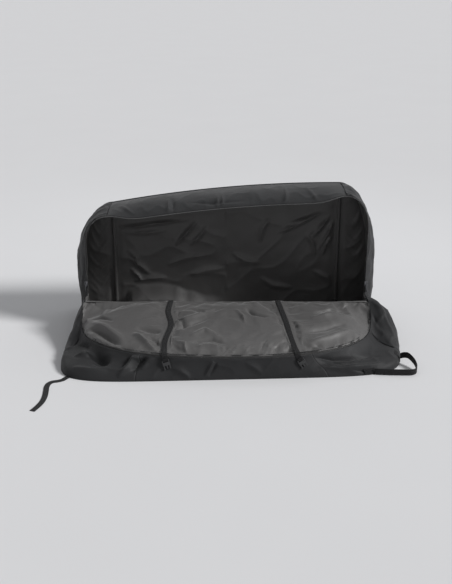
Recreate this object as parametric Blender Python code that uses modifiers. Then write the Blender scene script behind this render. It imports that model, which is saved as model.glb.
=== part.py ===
# Soft bike travel bag, shown open: a long tub of padded cloth stands on its base, and its front
# lid lies folded forward on the floor with the lining up. Metres, +Z up, +X to the right when
# looking at the open side, the open side towards -Y. The origin is the middle of the tub's base,
# on the floor.

import math

import bmesh
import bpy
from mathutils import Matrix, Vector

NAME = "soft_bike_travel_bag"

# Clearances
LAYER_GAP = 0.0004          # between two cloth layers that lie on each other
SEAM_GAP = 0.0010           # between two panels that are sewn edge to edge
BELLOWS_SEAM = 0.0050       # the same where the cloth is creased
ZIP_SEAM = 0.0020           # between the gussets and the zip tape
OVERRUN = 0.004             # how far a cutter runs past the face that it opens

# Cloth, foam and board
SHELL = 0.0020              # coated outer cloth with its backing
LINING = 0.0012             # thin satin lining
FOAM = 0.0080               # closed cell foam sheet
BOARD = 0.0040              # plastic board that stiffens the base
WEBBING = 0.0018            # thickness of every woven strap

# Tub, as it stands: the widest half length is at shoulder height
ZIP_HALF = 0.712            # half width between the straight upright runs of the zip
END_LEAN = 0.043            # the base reaches this much further at either end
END_BULGE = 0.020           # and the end panels bulge this much past the base
BODY_DEPTH = 0.290          # gusset from the back panel to the zip
LID_DEPTH = 0.110           # gusset from the zip to the front panel
SHOULDER_HEIGHT = 0.290
FOLD_HEIGHT = 0.192         # top of the fixed front wall, where the lid folds
TOP_RIGHT = 0.718           # height of the top over the right rod
TOP_LEFT = 0.612            # height of the top over the left rod
TOP_CROWN = 0.028           # rise of the top between the rods
ROD_INSET = 0.112           # the two upright rods stand this far inside the zip's ends
CREST_SHARE = 0.50          # place of the gusset's outermost line in its depth, from the zip
BACK_INSET = 0.016          # how far the back edge is drawn in
ZIP_STRAIGHT_RIGHT = 0.540  # height where the right run starts to bend
ZIP_STRAIGHT_LEFT = 0.460
ZIP_ROD_DROP = 0.009        # zip edge below the outermost line over a rod
ZIP_TOP_DROP = 0.046        # the same between the rods, where the cloth sags
ROD_REACH = 0.090           # how far along the top a rod holds the edge up
BASE_SPACE = 0.0050         # room for the leaning end panels beside the board
WALL_SPACE = 0.0032         # room for the end linings beside the front wall

# Lid, lying open
HEM_SPREAD = 0.008          # its zip edge reaches this much further than the tub's at either end
HEM_REACH = 0.470           # from its centre line to the front
HEM_SETBACK = 0.025         # the centre line of both outlines lies this far in front of the fold
HEM_HEIGHT = 0.104
HEM_POWER = 2.5
HEM_RISE_REACH = 0.200      # over this distance the edge climbs back to the fold
FLOOR_SPREAD = 0.103        # the same for the lid's outer edge on the floor
FLOOR_REACH = 0.480
FLOOR_SHIFT = 0.028         # the outer edge lies this far to the right
FLOOR_POWER = 6.5
FLOOR_SKEW = 0.042          # the left end lies nearer by this much at the full half length
SKIRT_FLAT = 0.030          # where floor edge and zip edge are further apart, the gusset slumps
SKIRT_SLUMPED = 0.180       # and is slumped fully from here
RIDGE_HEIGHT = 0.085        # steepness of the slumped gusset at its outer edge
HOLLOW_SHARE = 0.75         # where its hollow lies between floor edge and zip edge
LINING_CROWN = 0.016        # rise of the lining over the lid's middle
BELLOWS_START = 10.7        # degrees round the lid's outline where the end gussets begin
FRONT_START = 47.0          # degrees round the outline where the front gusset begins
LID_FOLD_SPACE = 0.004      # the lid is this much shorter than the zip's opening at the fold
LID_PANEL_SPACE = 0.012     # the same for its outer panel, which passes inside the bellows
HINGE_RISE = 0.006          # the fold turns about a line this far above the front wall
LID_SLACK = 0.0010          # gap between the front wall and the lid at the fold
LID_SLOPE_POWER = 1.5
LID_EDGE_POWER = 2.6        # the lid's outer panel falls this much more steeply at its two ends
LID_SPREAD_POWER = 6.0      # and it spreads sideways only near the floor edge, clear of the bellows
CORNER_ANGLE = 45.0
SPREAD_SHARE = 0.75         # towards the ends the floor edge lags behind the zip edge

# End bellows: the cloth that spreads at both ends when the lid folds down. Each foot line gives
# x and y on the floor from the tub's zip edge to the lid; the swells push the cloth out and up,
# first near its upper edge, then near the floor.
RIGHT_FOOT = ((0.013, -0.148), (0.057, -0.215), (0.087, -0.305), (0.098, -0.395), (0.095, -0.480))
LEFT_FOOT = ((-0.009, -0.148), (-0.021, -0.215), (-0.031, -0.305), (-0.035, -0.395), (-0.035, -0.480))
RIGHT_SWELL = ((0.050, 0.085), (0.070, 0.050))
LEFT_SWELL = ((0.006, 0.022), (0.012, 0.014))
BELLOWS_GAP = 0.0012
BELLOWS_LIFT = 0.0015       # its lower edge stays this far above the floor

# Zip
TAPE = 0.0010
TAPE_WIDTH = 0.012
COIL_RADIUS = 0.0021
SLIDER_LENGTH = 0.030
SLIDER_WIDTH = 0.013
SLIDER_WALL = 0.0022
SLIDER_START = 0.045        # its lower end stands this far above the zip's end
PULL_LENGTH = 0.042
PULL_WIDTH = 0.010
PULL_THICKNESS = 0.0024
BAIL_RADIUS = 0.0013
BAIL_RISE = 0.0060
RUN_CLEARANCE = 0.0005

# Upright rods
ROD_RADIUS = 0.0050
ROD_BACK_SPACE = 0.0030     # cloth of the sleeve behind the rod
SLEEVE_WIDTH = 0.026
SLEEVE_DEPTH = 0.0160
SLEEVE_START = 0.040        # sleeve's lower end above the tub's floor
SLEEVE_TOP_SPACE = 0.050    # sleeve's upper end below the rod's top
CAP_WALL = 0.0018
CAP_LENGTH = 0.022
CAP_END = 0.004

# Tie straps: distances are measured from the fold, x from the middle of the bag
STRAP_WIDTH = 0.025
STRAP_ANCHOR_REACH = 0.110  # how far behind the front wall the strap is sewn down
STRAP_BEND = 0.012
STRAP_SURFACE_GAP = 0.0012
LEFT_STRAP_ROUTE = ((0.002, -0.278), (0.10, -0.284), (0.20, -0.264), (0.31, -0.286), (0.40, -0.284))
RIGHT_STRAP_ROUTE = ((0.002, 0.262), (0.09, 0.275), (0.19, 0.292), (0.29, 0.306), (0.40, 0.330))
STRAP_END_SPACE = 0.001     # the strap on the lining ends this far in front of the zip edge
STRAP_HUMP = 0.0062         # rise where it crosses the zip
STRAP_HUMP_REACH = 0.022
TAIL_OFFSET = 0.0098        # middle of the hanging buckle in front of the lid's gusset
TAIL_LENGTH = 0.022
TAIL_RETURN = 0.011         # length of the webbing folded back behind the bar
LEFT_TAIL_LEAN = 18.0       # degrees that the hanging end points to the right
RIGHT_TAIL_LEAN = 34.0
PATCH_SIDE = 0.050
PATCH = 0.0014
PATCH_GAP = 0.0008

# Side release buckles
BUCKLE_WIDTH = 0.033
BUCKLE_THICKNESS = 0.0085
MALE_LENGTH = 0.040
FEMALE_LENGTH = 0.036
BUCKLE_BAR = 0.0034
BUCKLE_SLOT = 0.0048
BUCKLE_EDGE = 0.0012        # the rails run this far past the bar
PRONG_WIDTH = 0.0055
PRONG_LENGTH = 0.018
MATE_LENGTH = 0.090
MATE_SETBACK = 0.060        # the mating strap is sewn this far in front of the back panel

# Grab handle at the right end of the lid
HANDLE_WIDTH = 0.030
HANDLE_THICKNESS = 0.0030
HANDLE_ROUTE = (
    (0.1209, -0.5700, 0.0330), (0.1370, -0.5765, 0.0405), (0.1560, -0.591, 0.0435), (0.1740, -0.624, 0.0340),
    (0.1810, -0.656, 0.0250), (0.1790, -0.686, 0.0195), (0.1680, -0.708, 0.0178), (0.1480, -0.7185, 0.0175),
    (0.1200, -0.7195, 0.0175), (0.0880, -0.7185, 0.0175), (0.0530, -0.7175, 0.0175), (0.0180, -0.7150, 0.0175),
    (-0.0060, -0.7120, 0.0175), (-0.0200, -0.7095, 0.0175),
)
HANDLE_PATCH_SHARE = 0.30   # how far up the lid's gusset the sewn patches reach
TOP_PATCH_ANGLES = (11.6, 16.0)
FOOT_PATCH_ANGLES = (30.5, 34.5)

# Loose haul strap on the floor at the left end of the lid
HAUL_WIDTH = 0.025
HAUL_ROUTE = (
    (-0.0193, -0.7331), (-0.0280, -0.7485), (-0.0390, -0.766), (-0.0580, -0.778), (-0.0810, -0.786),
    (-0.0950, -0.806), (-0.0980, -0.838), (-0.0940, -0.875), (-0.0900, -0.915), (-0.0890, -0.950),
    (-0.0920, -0.985), (-0.0990, -1.015), (-0.1080, -1.042), (-0.1180, -1.068),
)
HAUL_LIFT = 0.0005

# Mesh steps, as counts
ROUND_SIDES = 16
FRONT_STEPS = 2
TOP_STEPS = 16
LOW_STEPS = 2
CORNER_STEPS = 12
DEPTH_STEPS = 6
LID_STEPS = 24
LID_ROWS = 7
ZIP_SKIPPED = 3             # of the lid's steps at either end, which the zip leaves free
FLOOR_SIDE_STEPS = 9
FLOOR_FRONT_STEPS = 14
SKIRT_ROWS = 6
BELLOWS_STEPS = 9
BELLOWS_ROWS = 6
ROUTE_STEPS = 22

# Places that follow from the sizes
BASE_HALF = ZIP_HALF + END_LEAN
HALF_LENGTH = BASE_HALF + END_BULGE
ROD_X = ZIP_HALF - ROD_INSET
HEM_HALF = ZIP_HALF + HEM_SPREAD
FLOOR_HALF = ZIP_HALF + FLOOR_SPREAD
LID_FOLD_HALF = ZIP_HALF - LID_FOLD_SPACE
BACK_Y = BODY_DEPTH / 2
ZIP_Y = -BODY_DEPTH / 2
FOLD_Y = ZIP_Y - LID_DEPTH
FLOOR_STEPS = 2 * FLOOR_SIDE_STEPS + FLOOR_FRONT_STEPS
BASE_TOP = SHELL + LAYER_GAP
FLOOR_TOP = BASE_TOP + BOARD + LAYER_GAP + LINING
BACK_STACK = SHELL + FOAM + LINING + 2 * LAYER_GAP
BACK_FACE = BACK_Y + LAYER_GAP
WALL_STACK = SHELL + FOAM + LINING + 2 * LAYER_GAP
HINGE_Z = FOLD_HEIGHT + HINGE_RISE
OUTLINE_Y = FOLD_Y - HEM_SETBACK

COLOURS = {
    "outer_cloth": ((0.030, 0.031, 0.034), 0.70, 0.0),
    "lining_cloth": ((0.085, 0.080, 0.076), 0.45, 0.0),
    "foam": ((0.055, 0.055, 0.058), 0.90, 0.0),
    "board": ((0.040, 0.040, 0.042), 0.50, 0.0),
    "webbing": ((0.018, 0.018, 0.019), 0.75, 0.0),
    "zip_tape": ((0.014, 0.014, 0.015), 0.80, 0.0),
    "zip_coil": ((0.020, 0.020, 0.021), 0.40, 0.0),
    "zip_metal": ((0.110, 0.110, 0.115), 0.35, 1.0),
    "buckle_plastic": ((0.022, 0.022, 0.023), 0.38, 0.0),
    "rod_aluminium": ((0.420, 0.425, 0.430), 0.35, 1.0),
    "rubber": ((0.020, 0.020, 0.020), 0.80, 0.0),
}


# Scene helpers

def clear_scene():
    for thing in list(bpy.data.objects):
        bpy.data.objects.remove(thing, do_unlink=True)


def collection(name):
    group = bpy.data.collections.new(name)
    bpy.context.scene.collection.children.link(group)
    return group


def material(name):
    found = bpy.data.materials.get(name)
    if found:
        return found
    colour, roughness, metallic = COLOURS[name]
    made = bpy.data.materials.new(name)
    made.use_nodes = True
    shader = made.node_tree.nodes["Principled BSDF"]
    shader.inputs["Base Color"].default_value = (*colour, 1.0)
    shader.inputs["Roughness"].default_value = roughness
    shader.inputs["Metallic"].default_value = metallic
    return made


def add_object(name, data, finish, home=None):
    thing = bpy.data.objects.new(name, data)
    data.materials.append(material(finish))
    bpy.data.collections[home or NAME].objects.link(thing)
    return thing


def mesh_object(name, bm, finish, home=None):
    mesh = bpy.data.meshes.new(name)
    bm.to_mesh(mesh)
    bm.free()
    mesh.shade_smooth()
    mesh.set_sharp_from_angle(angle=math.radians(35))
    return add_object(name, mesh, finish, home)


def turning_point(name, place):
    """An empty on a joint's axis, which carries the pieces that turn there."""
    empty = bpy.data.objects.new(name, None)
    empty.location = place
    bpy.data.collections[NAME].objects.link(empty)
    return empty


def carry(parent, *children):
    for child in children:
        child.parent = parent
        child.matrix_parent_inverse = Matrix.Translation(-Vector(parent.location))


def cutter(thing):
    thing.hide_render = True
    thing.display_type = "WIRE"
    return thing


def cut(thing, tool):
    step = thing.modifiers.new("cut " + tool.name, "BOOLEAN")
    step.operation = "DIFFERENCE"
    step.solver = "EXACT"
    step.object = tool


def join(thing, tool):
    step = thing.modifiers.new("join " + tool.name, "BOOLEAN")
    step.operation = "UNION"
    step.solver = "EXACT"
    step.object = tool


# Shapes

def sheet(name, point, steps, rows, low, high, finish, outside, missing=None):
    """A cloth panel: the surface point(u, v), filled from low to high along its outward side."""
    bm = bmesh.new()
    bmesh.ops.create_grid(bm, x_segments=steps, y_segments=rows, size=0.5)
    if missing:
        gone = [face for face in bm.faces if missing(*(face.calc_center_median().xy + Vector((0.5, 0.5))))]
        bmesh.ops.delete(bm, geom=gone, context="FACES")
    for vert in bm.verts:
        vert.co = point(vert.co.x + 0.5, vert.co.y + 0.5)
    bm.normal_update()
    if sum(face.normal.dot(outside) * face.calc_area() for face in bm.faces) < 0:
        bmesh.ops.reverse_faces(bm, faces=bm.faces)
        bm.normal_update()
    shifts = [(vert, vert.normal * low) for vert in bm.verts]
    for vert, shift in shifts:
        vert.co += shift
    thing = mesh_object(name, bm, finish)
    wall = thing.modifiers.new("thickness", "SOLIDIFY")
    wall.thickness = high - low
    wall.offset = 1.0
    return thing


def ribbon(name, centres, sides, width, thickness, finish):
    """Flat webbing along a route, with the direction of its width at each point."""
    def point(u, v):
        i = round(u * (len(centres) - 1))
        return centres[i] + sides[i] * (width * (v - 0.5))
    bm = bmesh.new()
    bmesh.ops.create_grid(bm, x_segments=len(centres) - 1, y_segments=1, size=0.5)
    for vert in bm.verts:
        vert.co = point(vert.co.x + 0.5, vert.co.y + 0.5)
    thing = mesh_object(name, bm, finish)
    wall = thing.modifiers.new("thickness", "SOLIDIFY")
    wall.thickness = thickness
    wall.offset = 0.0
    return thing


def standing_plate(name, outline, front, thickness, finish):
    """A flat panel in the XZ plane that starts at y = front."""
    curve = bpy.data.curves.new(name, "CURVE")
    curve.dimensions = "2D"
    curve.fill_mode = "BOTH"
    curve.extrude = thickness / 2
    spline = curve.splines.new("POLY")
    spline.points.add(len(outline) - 1)
    for knot, (x, z) in zip(spline.points, outline):
        knot.co = (x, z, 0.0, 1.0)
    spline.use_cyclic_u = True
    thing = add_object(name, curve, finish)
    thing.rotation_euler = (math.pi / 2, 0.0, 0.0)
    thing.location = (0.0, front + thickness / 2, 0.0)
    return thing


def box(name, low, high, finish, bevel=0.0, home=None):
    bm = bmesh.new()
    bmesh.ops.create_cube(bm, size=1.0)
    size = Vector(high) - Vector(low)
    bmesh.ops.scale(bm, vec=size, verts=bm.verts)
    bmesh.ops.translate(bm, vec=(Vector(low) + Vector(high)) / 2, verts=bm.verts)
    thing = mesh_object(name, bm, finish, home)
    if bevel:
        soft = thing.modifiers.new("edges", "BEVEL")
        soft.width = bevel
        soft.segments = 2
        soft.limit_method = "ANGLE"
    return thing


def cylinder(name, radius, low, high, finish, home=None):
    """A round bar from the point low to the point high."""
    low = Vector(low)
    high = Vector(high)
    bm = bmesh.new()
    bmesh.ops.create_cone(
        bm, cap_ends=True, segments=ROUND_SIDES, radius1=radius, radius2=radius, depth=(high - low).length
    )
    turn = (high - low).to_track_quat("Z", "Y").to_matrix().to_4x4()
    bmesh.ops.transform(bm, matrix=Matrix.Translation((low + high) / 2) @ turn, verts=bm.verts)
    return mesh_object(name, bm, finish, home)


def tube(name, points, radius, finish, resolution=1):
    curve = bpy.data.curves.new(name, "CURVE")
    curve.dimensions = "3D"
    curve.bevel_depth = radius
    curve.bevel_resolution = resolution
    curve.use_fill_caps = True
    spline = curve.splines.new("POLY")
    spline.points.add(len(points) - 1)
    for knot, place in zip(spline.points, points):
        knot.co = (*place, 1.0)
    return add_object(name, curve, finish)


def smooth_route(points, count):
    """Evenly spaced points on a smooth curve through the given ones."""
    knots = [Vector(point) for point in points]
    ends = [2 * knots[0] - knots[1], *knots, 2 * knots[-1] - knots[-2]]
    dense = []
    for i in range(len(knots) - 1):
        a, b, c, d = ends[i:i + 4]
        for k in range(12):
            t = k / 12
            dense.append(
                0.5 * ((2 * b) + (c - a) * t + (2 * a - 5 * b + 4 * c - d) * t * t + (3 * b - 3 * c + d - a) * t ** 3)
            )
    dense.append(knots[-1])
    lengths = [0.0]
    for a, b in zip(dense, dense[1:]):
        lengths.append(lengths[-1] + (b - a).length)
    out = []
    j = 0
    for i in range(count):
        goal = lengths[-1] * i / (count - 1)
        while j < len(dense) - 2 and lengths[j + 1] < goal:
            j += 1
        span = lengths[j + 1] - lengths[j]
        out.append(dense[j].lerp(dense[j + 1], (goal - lengths[j]) / span))
    return out


def wire(name, points, radius):
    """A bent round bar as a closed mesh, to be joined to a body."""
    bm = bmesh.new()
    turns = [2 * math.pi * i / 10 for i in range(10)]
    rings = []
    knots = [Vector(point) for point in points]
    for i, knot in enumerate(knots):
        before = (knot - knots[i - 1]).normalized() if i else None
        after = (knots[i + 1] - knot).normalized() if i < len(knots) - 1 else None
        along = before or after
        if before and after:
            along = (before + after).normalized()
        flat = Vector((0.0, 1.0, 0.0))
        cross = along.cross(flat)
        stretch = 1.0
        if before and after:
            stretch = 1 / math.cos(before.angle(after) / 2)
        rings.append([
            bm.verts.new(knot + flat * (radius * math.cos(t)) + cross * (radius * stretch * math.sin(t))) for t in turns
        ])
    for a, b in zip(rings, rings[1:]):
        for i in range(len(turns)):
            j = (i + 1) % len(turns)
            bm.faces.new((a[i], a[j], b[j], b[i]))
    bm.faces.new(rings[0])
    bm.faces.new(reversed(rings[-1]))
    bmesh.ops.recalc_face_normals(bm, faces=bm.faces)
    return mesh_object(name, bm, "zip_metal", "cutters")


# The tub's outline, seen from the front

def top_height(x):
    """Height of the outermost line over the stretch between the rods."""
    across = (ROD_X - x) / (2 * ROD_X)
    return TOP_RIGHT + (TOP_LEFT - TOP_RIGHT) * across + TOP_CROWN * (1 - (x / ROD_X) ** 2)


def zip_drop(x):
    """How far the zip edge lies below the outermost line between the rods."""
    near_rod = math.exp(-(((abs(x) - ROD_X) / ROD_REACH) ** 2))
    return ZIP_TOP_DROP - (ZIP_TOP_DROP - ZIP_ROD_DROP) * near_rod


def end_curves(share, side, top, straight):
    """Points of the outermost line and the zip edge, and the outward direction, at one height share."""
    rise = top - SHOULDER_HEIGHT
    spread = HALF_LENGTH - ROD_X
    start = (FOLD_HEIGHT - SHOULDER_HEIGHT) / rise
    angle = start + (math.pi / 2 - start) * share
    if angle < 0:
        crest = Vector((side * HALF_LENGTH, 0.0, SHOULDER_HEIGHT + rise * angle))
        out = Vector((side, 0.0, 0.0))
    else:
        crest = Vector((side * (ROD_X + spread * math.cos(angle)), 0.0, SHOULDER_HEIGHT + rise * math.sin(angle)))
        out = Vector((side * math.cos(angle) / spread, 0.0, math.sin(angle) / rise)).normalized()
    if crest.z <= straight:
        return crest, Vector((side * ZIP_HALF, 0.0, crest.z)), out
    first = math.asin((straight - SHOULDER_HEIGHT) / rise)
    turn = math.pi / 2 * (angle - first) / (math.pi / 2 - first)
    edge_x = ROD_X + (ZIP_HALF - ROD_X) * math.cos(turn)
    edge_z = straight + (top - ZIP_ROD_DROP - straight) * math.sin(turn)
    return crest, Vector((side * edge_x, 0.0, edge_z)), out


def curves_right(share):
    """From the fold up the right end to the rod."""
    return end_curves(share, 1.0, TOP_RIGHT, ZIP_STRAIGHT_RIGHT)


def curves_left(share):
    return end_curves(share, -1.0, TOP_LEFT, ZIP_STRAIGHT_LEFT)


def curves_top(share):
    """Over the top, from the right rod to the left one."""
    x = (ROD_X - SEAM_GAP) * (1 - 2 * share)
    crest = Vector((x, 0.0, top_height(x)))
    slope = (TOP_RIGHT - TOP_LEFT) / (2 * ROD_X) - 2 * TOP_CROWN * x / ROD_X ** 2
    out = Vector((-slope, 0.0, 1.0)).normalized()
    return crest, crest - out * zip_drop(x), out


def back_inset(depth_share):
    return BACK_INSET * ((depth_share - CREST_SHARE) / (1 - CREST_SHARE)) ** 2


def gusset_point(curves, share, depth_share):
    """Depth share 0 is the zip edge, 1 the back."""
    crest, edge, out = curves(share)
    if depth_share < CREST_SHARE:
        place = crest.lerp(edge, ((CREST_SHARE - depth_share) / CREST_SHARE) ** 2)
    else:
        place = crest - out * back_inset(depth_share)
    place.y = ZIP_Y + BODY_DEPTH * depth_share
    return place


def zip_edge(curves, share):
    return gusset_point(curves, share, 0.0)


def side_x(y, height_share):
    """Half length of the tub below the fold: height share 0 is the base, 1 the fold."""
    share = max(0.0, (y - ZIP_Y) / BODY_DEPTH)
    top = gusset_point(curves_right, 0.0, share).x
    return BASE_HALF + (top - BASE_HALF) * height_share


def end_point(side, u, v):
    """End panel from the base, u 0, to the rod, u 1; v 0 is its free edge, 1 the back."""
    row = round(u * (LOW_STEPS + CORNER_STEPS))
    first = FRONT_STEPS / (FRONT_STEPS + DEPTH_STEPS)
    if row > LOW_STEPS:
        curves = curves_right if side > 0 else curves_left
        return gusset_point(curves, (row - LOW_STEPS) / CORNER_STEPS, max(0.0, (v - first) / (1 - first)))
    y = FOLD_Y + LID_DEPTH * v / first if v < first else ZIP_Y + BODY_DEPTH * (v - first) / (1 - first)
    share = row / LOW_STEPS
    return Vector((side * side_x(y, share), y, BASE_TOP + (FOLD_HEIGHT - BASE_TOP) * share))


def in_front_of_zip(u, v):
    return u > LOW_STEPS / (LOW_STEPS + CORNER_STEPS) and v < FRONT_STEPS / (FRONT_STEPS + DEPTH_STEPS)


# The lid's outlines: angle 0 is at the right end of the fold, 180 at the left end

def radius(angle, half, reach, exponent):
    """Distance of a rounded outline from its middle in one direction."""
    turn = math.radians(angle)
    return (abs(math.cos(turn) / half) ** exponent + abs(math.sin(turn) / reach) ** exponent) ** (-1 / exponent)


def hem_point(angle):
    """The zip edge."""
    turn = math.radians(angle)
    reach = radius(angle, HEM_HALF, HEM_REACH, HEM_POWER)
    y = OUTLINE_Y - reach * math.sin(turn)
    near = max(0.0, 1 - (OUTLINE_Y - y) / HEM_RISE_REACH)
    return Vector((reach * math.cos(turn), y, HEM_HEIGHT + (FOLD_HEIGHT - HEM_HEIGHT) * near ** 3))


def floor_point(angle, shrink=0.0):
    """The lid's outer edge where it lies on the floor, below the zip edge's point of this angle."""
    from_side = min(angle, 180 - angle)
    if from_side < CORNER_ANGLE:
        from_side = CORNER_ANGLE - (CORNER_ANGLE - from_side) * SPREAD_SHARE
    direction = from_side if angle < 90 else 180 - from_side
    turn = math.radians(direction)
    reach = radius(direction, FLOOR_HALF - shrink, FLOOR_REACH - shrink, FLOOR_POWER)
    x = reach * math.cos(turn) + FLOOR_SHIFT
    return Vector((x, OUTLINE_Y - reach * math.sin(turn) + FLOOR_SKEW * x / FLOOR_HALF, 0.0))


def skirt_curve(angle):
    """Four control points of the lid's gusset, from the floor to the zip edge."""
    low = floor_point(angle)
    high = hem_point(angle)
    flat = math.hypot(high.x - low.x, high.y - low.y)
    slump = min(1.0, max(0.0, (flat - SKIRT_FLAT) / (SKIRT_SLUMPED - SKIRT_FLAT)))
    ridge = low + Vector((0.0, 0.0, RIDGE_HEIGHT))
    hollow = low.lerp(high, HOLLOW_SHARE)
    hollow.z = 0.0
    return low, low.lerp(high, 1 / 3).lerp(ridge, slump), low.lerp(high, 2 / 3).lerp(hollow, slump), high


def bezier(points, share):
    a, b, c, d = points
    rest = 1 - share
    return a * rest ** 3 + b * (3 * share * rest ** 2) + c * (3 * share ** 2 * rest) + d * share ** 3


def skirt_point(angle, share):
    """Lid gusset from the floor, share 0, to the zip edge, share 1."""
    return bezier(skirt_curve(angle), share)


def lid_angle(share):
    """Angle of a share of the lid's floor edge, which has more steps round the corners."""
    from_end = min(share, 1 - share) * FLOOR_STEPS
    if from_end < FLOOR_SIDE_STEPS:
        angle = BELLOWS_START + (FRONT_START - BELLOWS_START) * from_end / FLOOR_SIDE_STEPS
    else:
        front = (from_end - FLOOR_SIDE_STEPS) / FLOOR_FRONT_STEPS
        angle = FRONT_START + (180 - 2 * FRONT_START) * front
    return angle if share <= 0.5 else 180 - angle


def foot_gap(angle):
    """Space between the floor edge and the lid's outer panel, whose top face meets the leaning gusset."""
    low = skirt_point(angle, 0.0)
    near = skirt_point(angle, 1 / SKIRT_ROWS)
    return LAYER_GAP + SHELL * math.hypot(near.x - low.x, near.y - low.y) / near.z


def lid_panel_point(u, v):
    """Outer panel of the lid, from the fold, v 0, to its edge on the floor, v 1."""
    start = Vector(((ZIP_HALF - LID_PANEL_SPACE) * (1 - 2 * u), FOLD_Y - LID_SLACK, 0.0))
    end = floor_point(lid_angle(u), foot_gap(lid_angle(u)))
    place = start.lerp(end, v)
    place.x = start.x + (end.x - start.x) * v ** (1 + LID_SPREAD_POWER * (2 * u - 1) ** 8)
    top = FOLD_HEIGHT - FOAM - LINING - SHELL - 7 * LAYER_GAP
    place.z = top * (1 - v) ** (LID_SLOPE_POWER + LID_EDGE_POWER * (2 * u - 1) ** 4)
    return place


def lid_lining_point(u, v):
    """Lining of the lid, from the fold, v 0, to the zip edge, v 1."""
    start = Vector((LID_FOLD_HALF * (1 - 2 * u), FOLD_Y - LID_SLACK, FOLD_HEIGHT))
    edge = hem_point(180 * u)
    out = Vector((edge.x, edge.y - OUTLINE_Y, 0.0)).normalized()
    end = edge - out * (SHELL + 2 * LAYER_GAP)
    place = start.lerp(end, v)
    place.z += LINING_CROWN * 4 * v * (1 - v) * (1 - (2 * u - 1) ** 2)
    return place


# Tub

def make_base():
    half = BASE_HALF + SHELL
    front = FOLD_Y
    back = BACK_FACE + BACK_STACK
    box("base_shell", (-half, front, 0.0), (half, back, SHELL), "outer_cloth")
    inner = BASE_HALF - BASE_SPACE
    low_y = FOLD_Y + WALL_STACK + LAYER_GAP
    high_y = BACK_Y - LAYER_GAP
    box("base_board", (-inner, low_y, BASE_TOP), (inner, high_y, BASE_TOP + BOARD), "board")
    top = BASE_TOP + BOARD + LAYER_GAP
    box("base_lining", (-inner, low_y, top), (inner, high_y, top + LINING), "lining_cloth")


def back_outline(grow):
    """Edge of the back panel, drawn in like the back of the gussets, bottom right to bottom left."""
    points = [(BASE_HALF + grow, BASE_TOP)]
    for curves, steps in ((curves_right, CORNER_STEPS), (curves_top, TOP_STEPS), (curves_left, CORNER_STEPS)):
        shares = [i / steps for i in range(steps + 1)]
        if curves is curves_left:
            shares.reverse()
        elif curves is curves_top:
            shares = shares[1:-1]
        for share in shares:
            place = gusset_point(curves, share, 1.0)
            out = curves(share)[2]
            points.append((place.x + out.x * grow, place.z + out.z * grow))
    points.append((-(BASE_HALF + grow), BASE_TOP))
    return points


def make_back():
    outline = back_outline(SHELL)
    standing_plate("back_lining", outline, BACK_FACE, LINING, "lining_cloth")
    standing_plate("back_foam", outline, BACK_FACE + LINING + LAYER_GAP, FOAM, "foam")
    shell_face = BACK_FACE + LINING + FOAM + 2 * LAYER_GAP
    standing_plate("back_shell", outline, shell_face, SHELL, "outer_cloth")


def make_panel(prefix, point, steps, rows, outside, missing=None):
    """Outer cloth with its lining under it."""
    sheet(prefix + "_shell", point, steps, rows, 0.0, SHELL, "outer_cloth", outside, missing)
    sheet(
        prefix + "_lining", point, steps, rows, -LAYER_GAP - LINING, -LAYER_GAP, "lining_cloth", outside, missing
    )


def make_ring():
    """Both end panels and the top gusset."""
    steps = LOW_STEPS + CORNER_STEPS
    rows = FRONT_STEPS + DEPTH_STEPS
    for prefix, side in (("right_end", 1.0), ("left_end", -1.0)):
        def point(u, v, side=side):
            return end_point(side, u, v)
        make_panel(prefix, point, steps, rows, Vector((side, 0.0, 0.3)), in_front_of_zip)
    make_panel("top", lambda u, v: gusset_point(curves_top, u, v), TOP_STEPS, DEPTH_STEPS, Vector((0.0, 0.0, 1.0)))


def make_front_wall():
    low = BASE_HALF - WALL_SPACE
    high = ZIP_HALF - WALL_SPACE
    outline = [(low, BASE_TOP), (high, FOLD_HEIGHT), (-high, FOLD_HEIGHT), (-low, BASE_TOP)]
    standing_plate("front_wall_shell", outline, FOLD_Y, SHELL, "outer_cloth")
    standing_plate("front_wall_foam", outline, FOLD_Y + SHELL + LAYER_GAP, FOAM, "foam")
    standing_plate(
        "front_wall_lining", outline, FOLD_Y + SHELL + FOAM + 2 * LAYER_GAP, LINING, "lining_cloth"
    )


def bellows_top(side):
    """Upper edge of the spread cloth, along the end panel and the first bit of the lid's zip edge."""
    x = side * (ZIP_HALF + SHELL + BELLOWS_GAP)
    z = FOLD_HEIGHT - LAYER_GAP
    points = [Vector((x, ZIP_Y, z)), Vector((x, (ZIP_Y + FOLD_Y) / 2, z)), Vector((x, FOLD_Y, z))]
    for i in range(4):
        angle = BELLOWS_START * (i + 1) / 4
        points.append(hem_point(angle if side > 0 else 180 - angle))
    return smooth_route(points, BELLOWS_STEPS + 1)


def bellows_foot(side):
    route = RIGHT_FOOT if side > 0 else LEFT_FOOT
    points = [Vector((side * BASE_HALF + x, y, 0.0)) for x, y in route]
    points.append(floor_point(BELLOWS_START if side > 0 else 180 - BELLOWS_START))
    return [place + Vector((0.0, 0.0, BELLOWS_LIFT)) for place in smooth_route(points, BELLOWS_STEPS + 1)]


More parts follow.
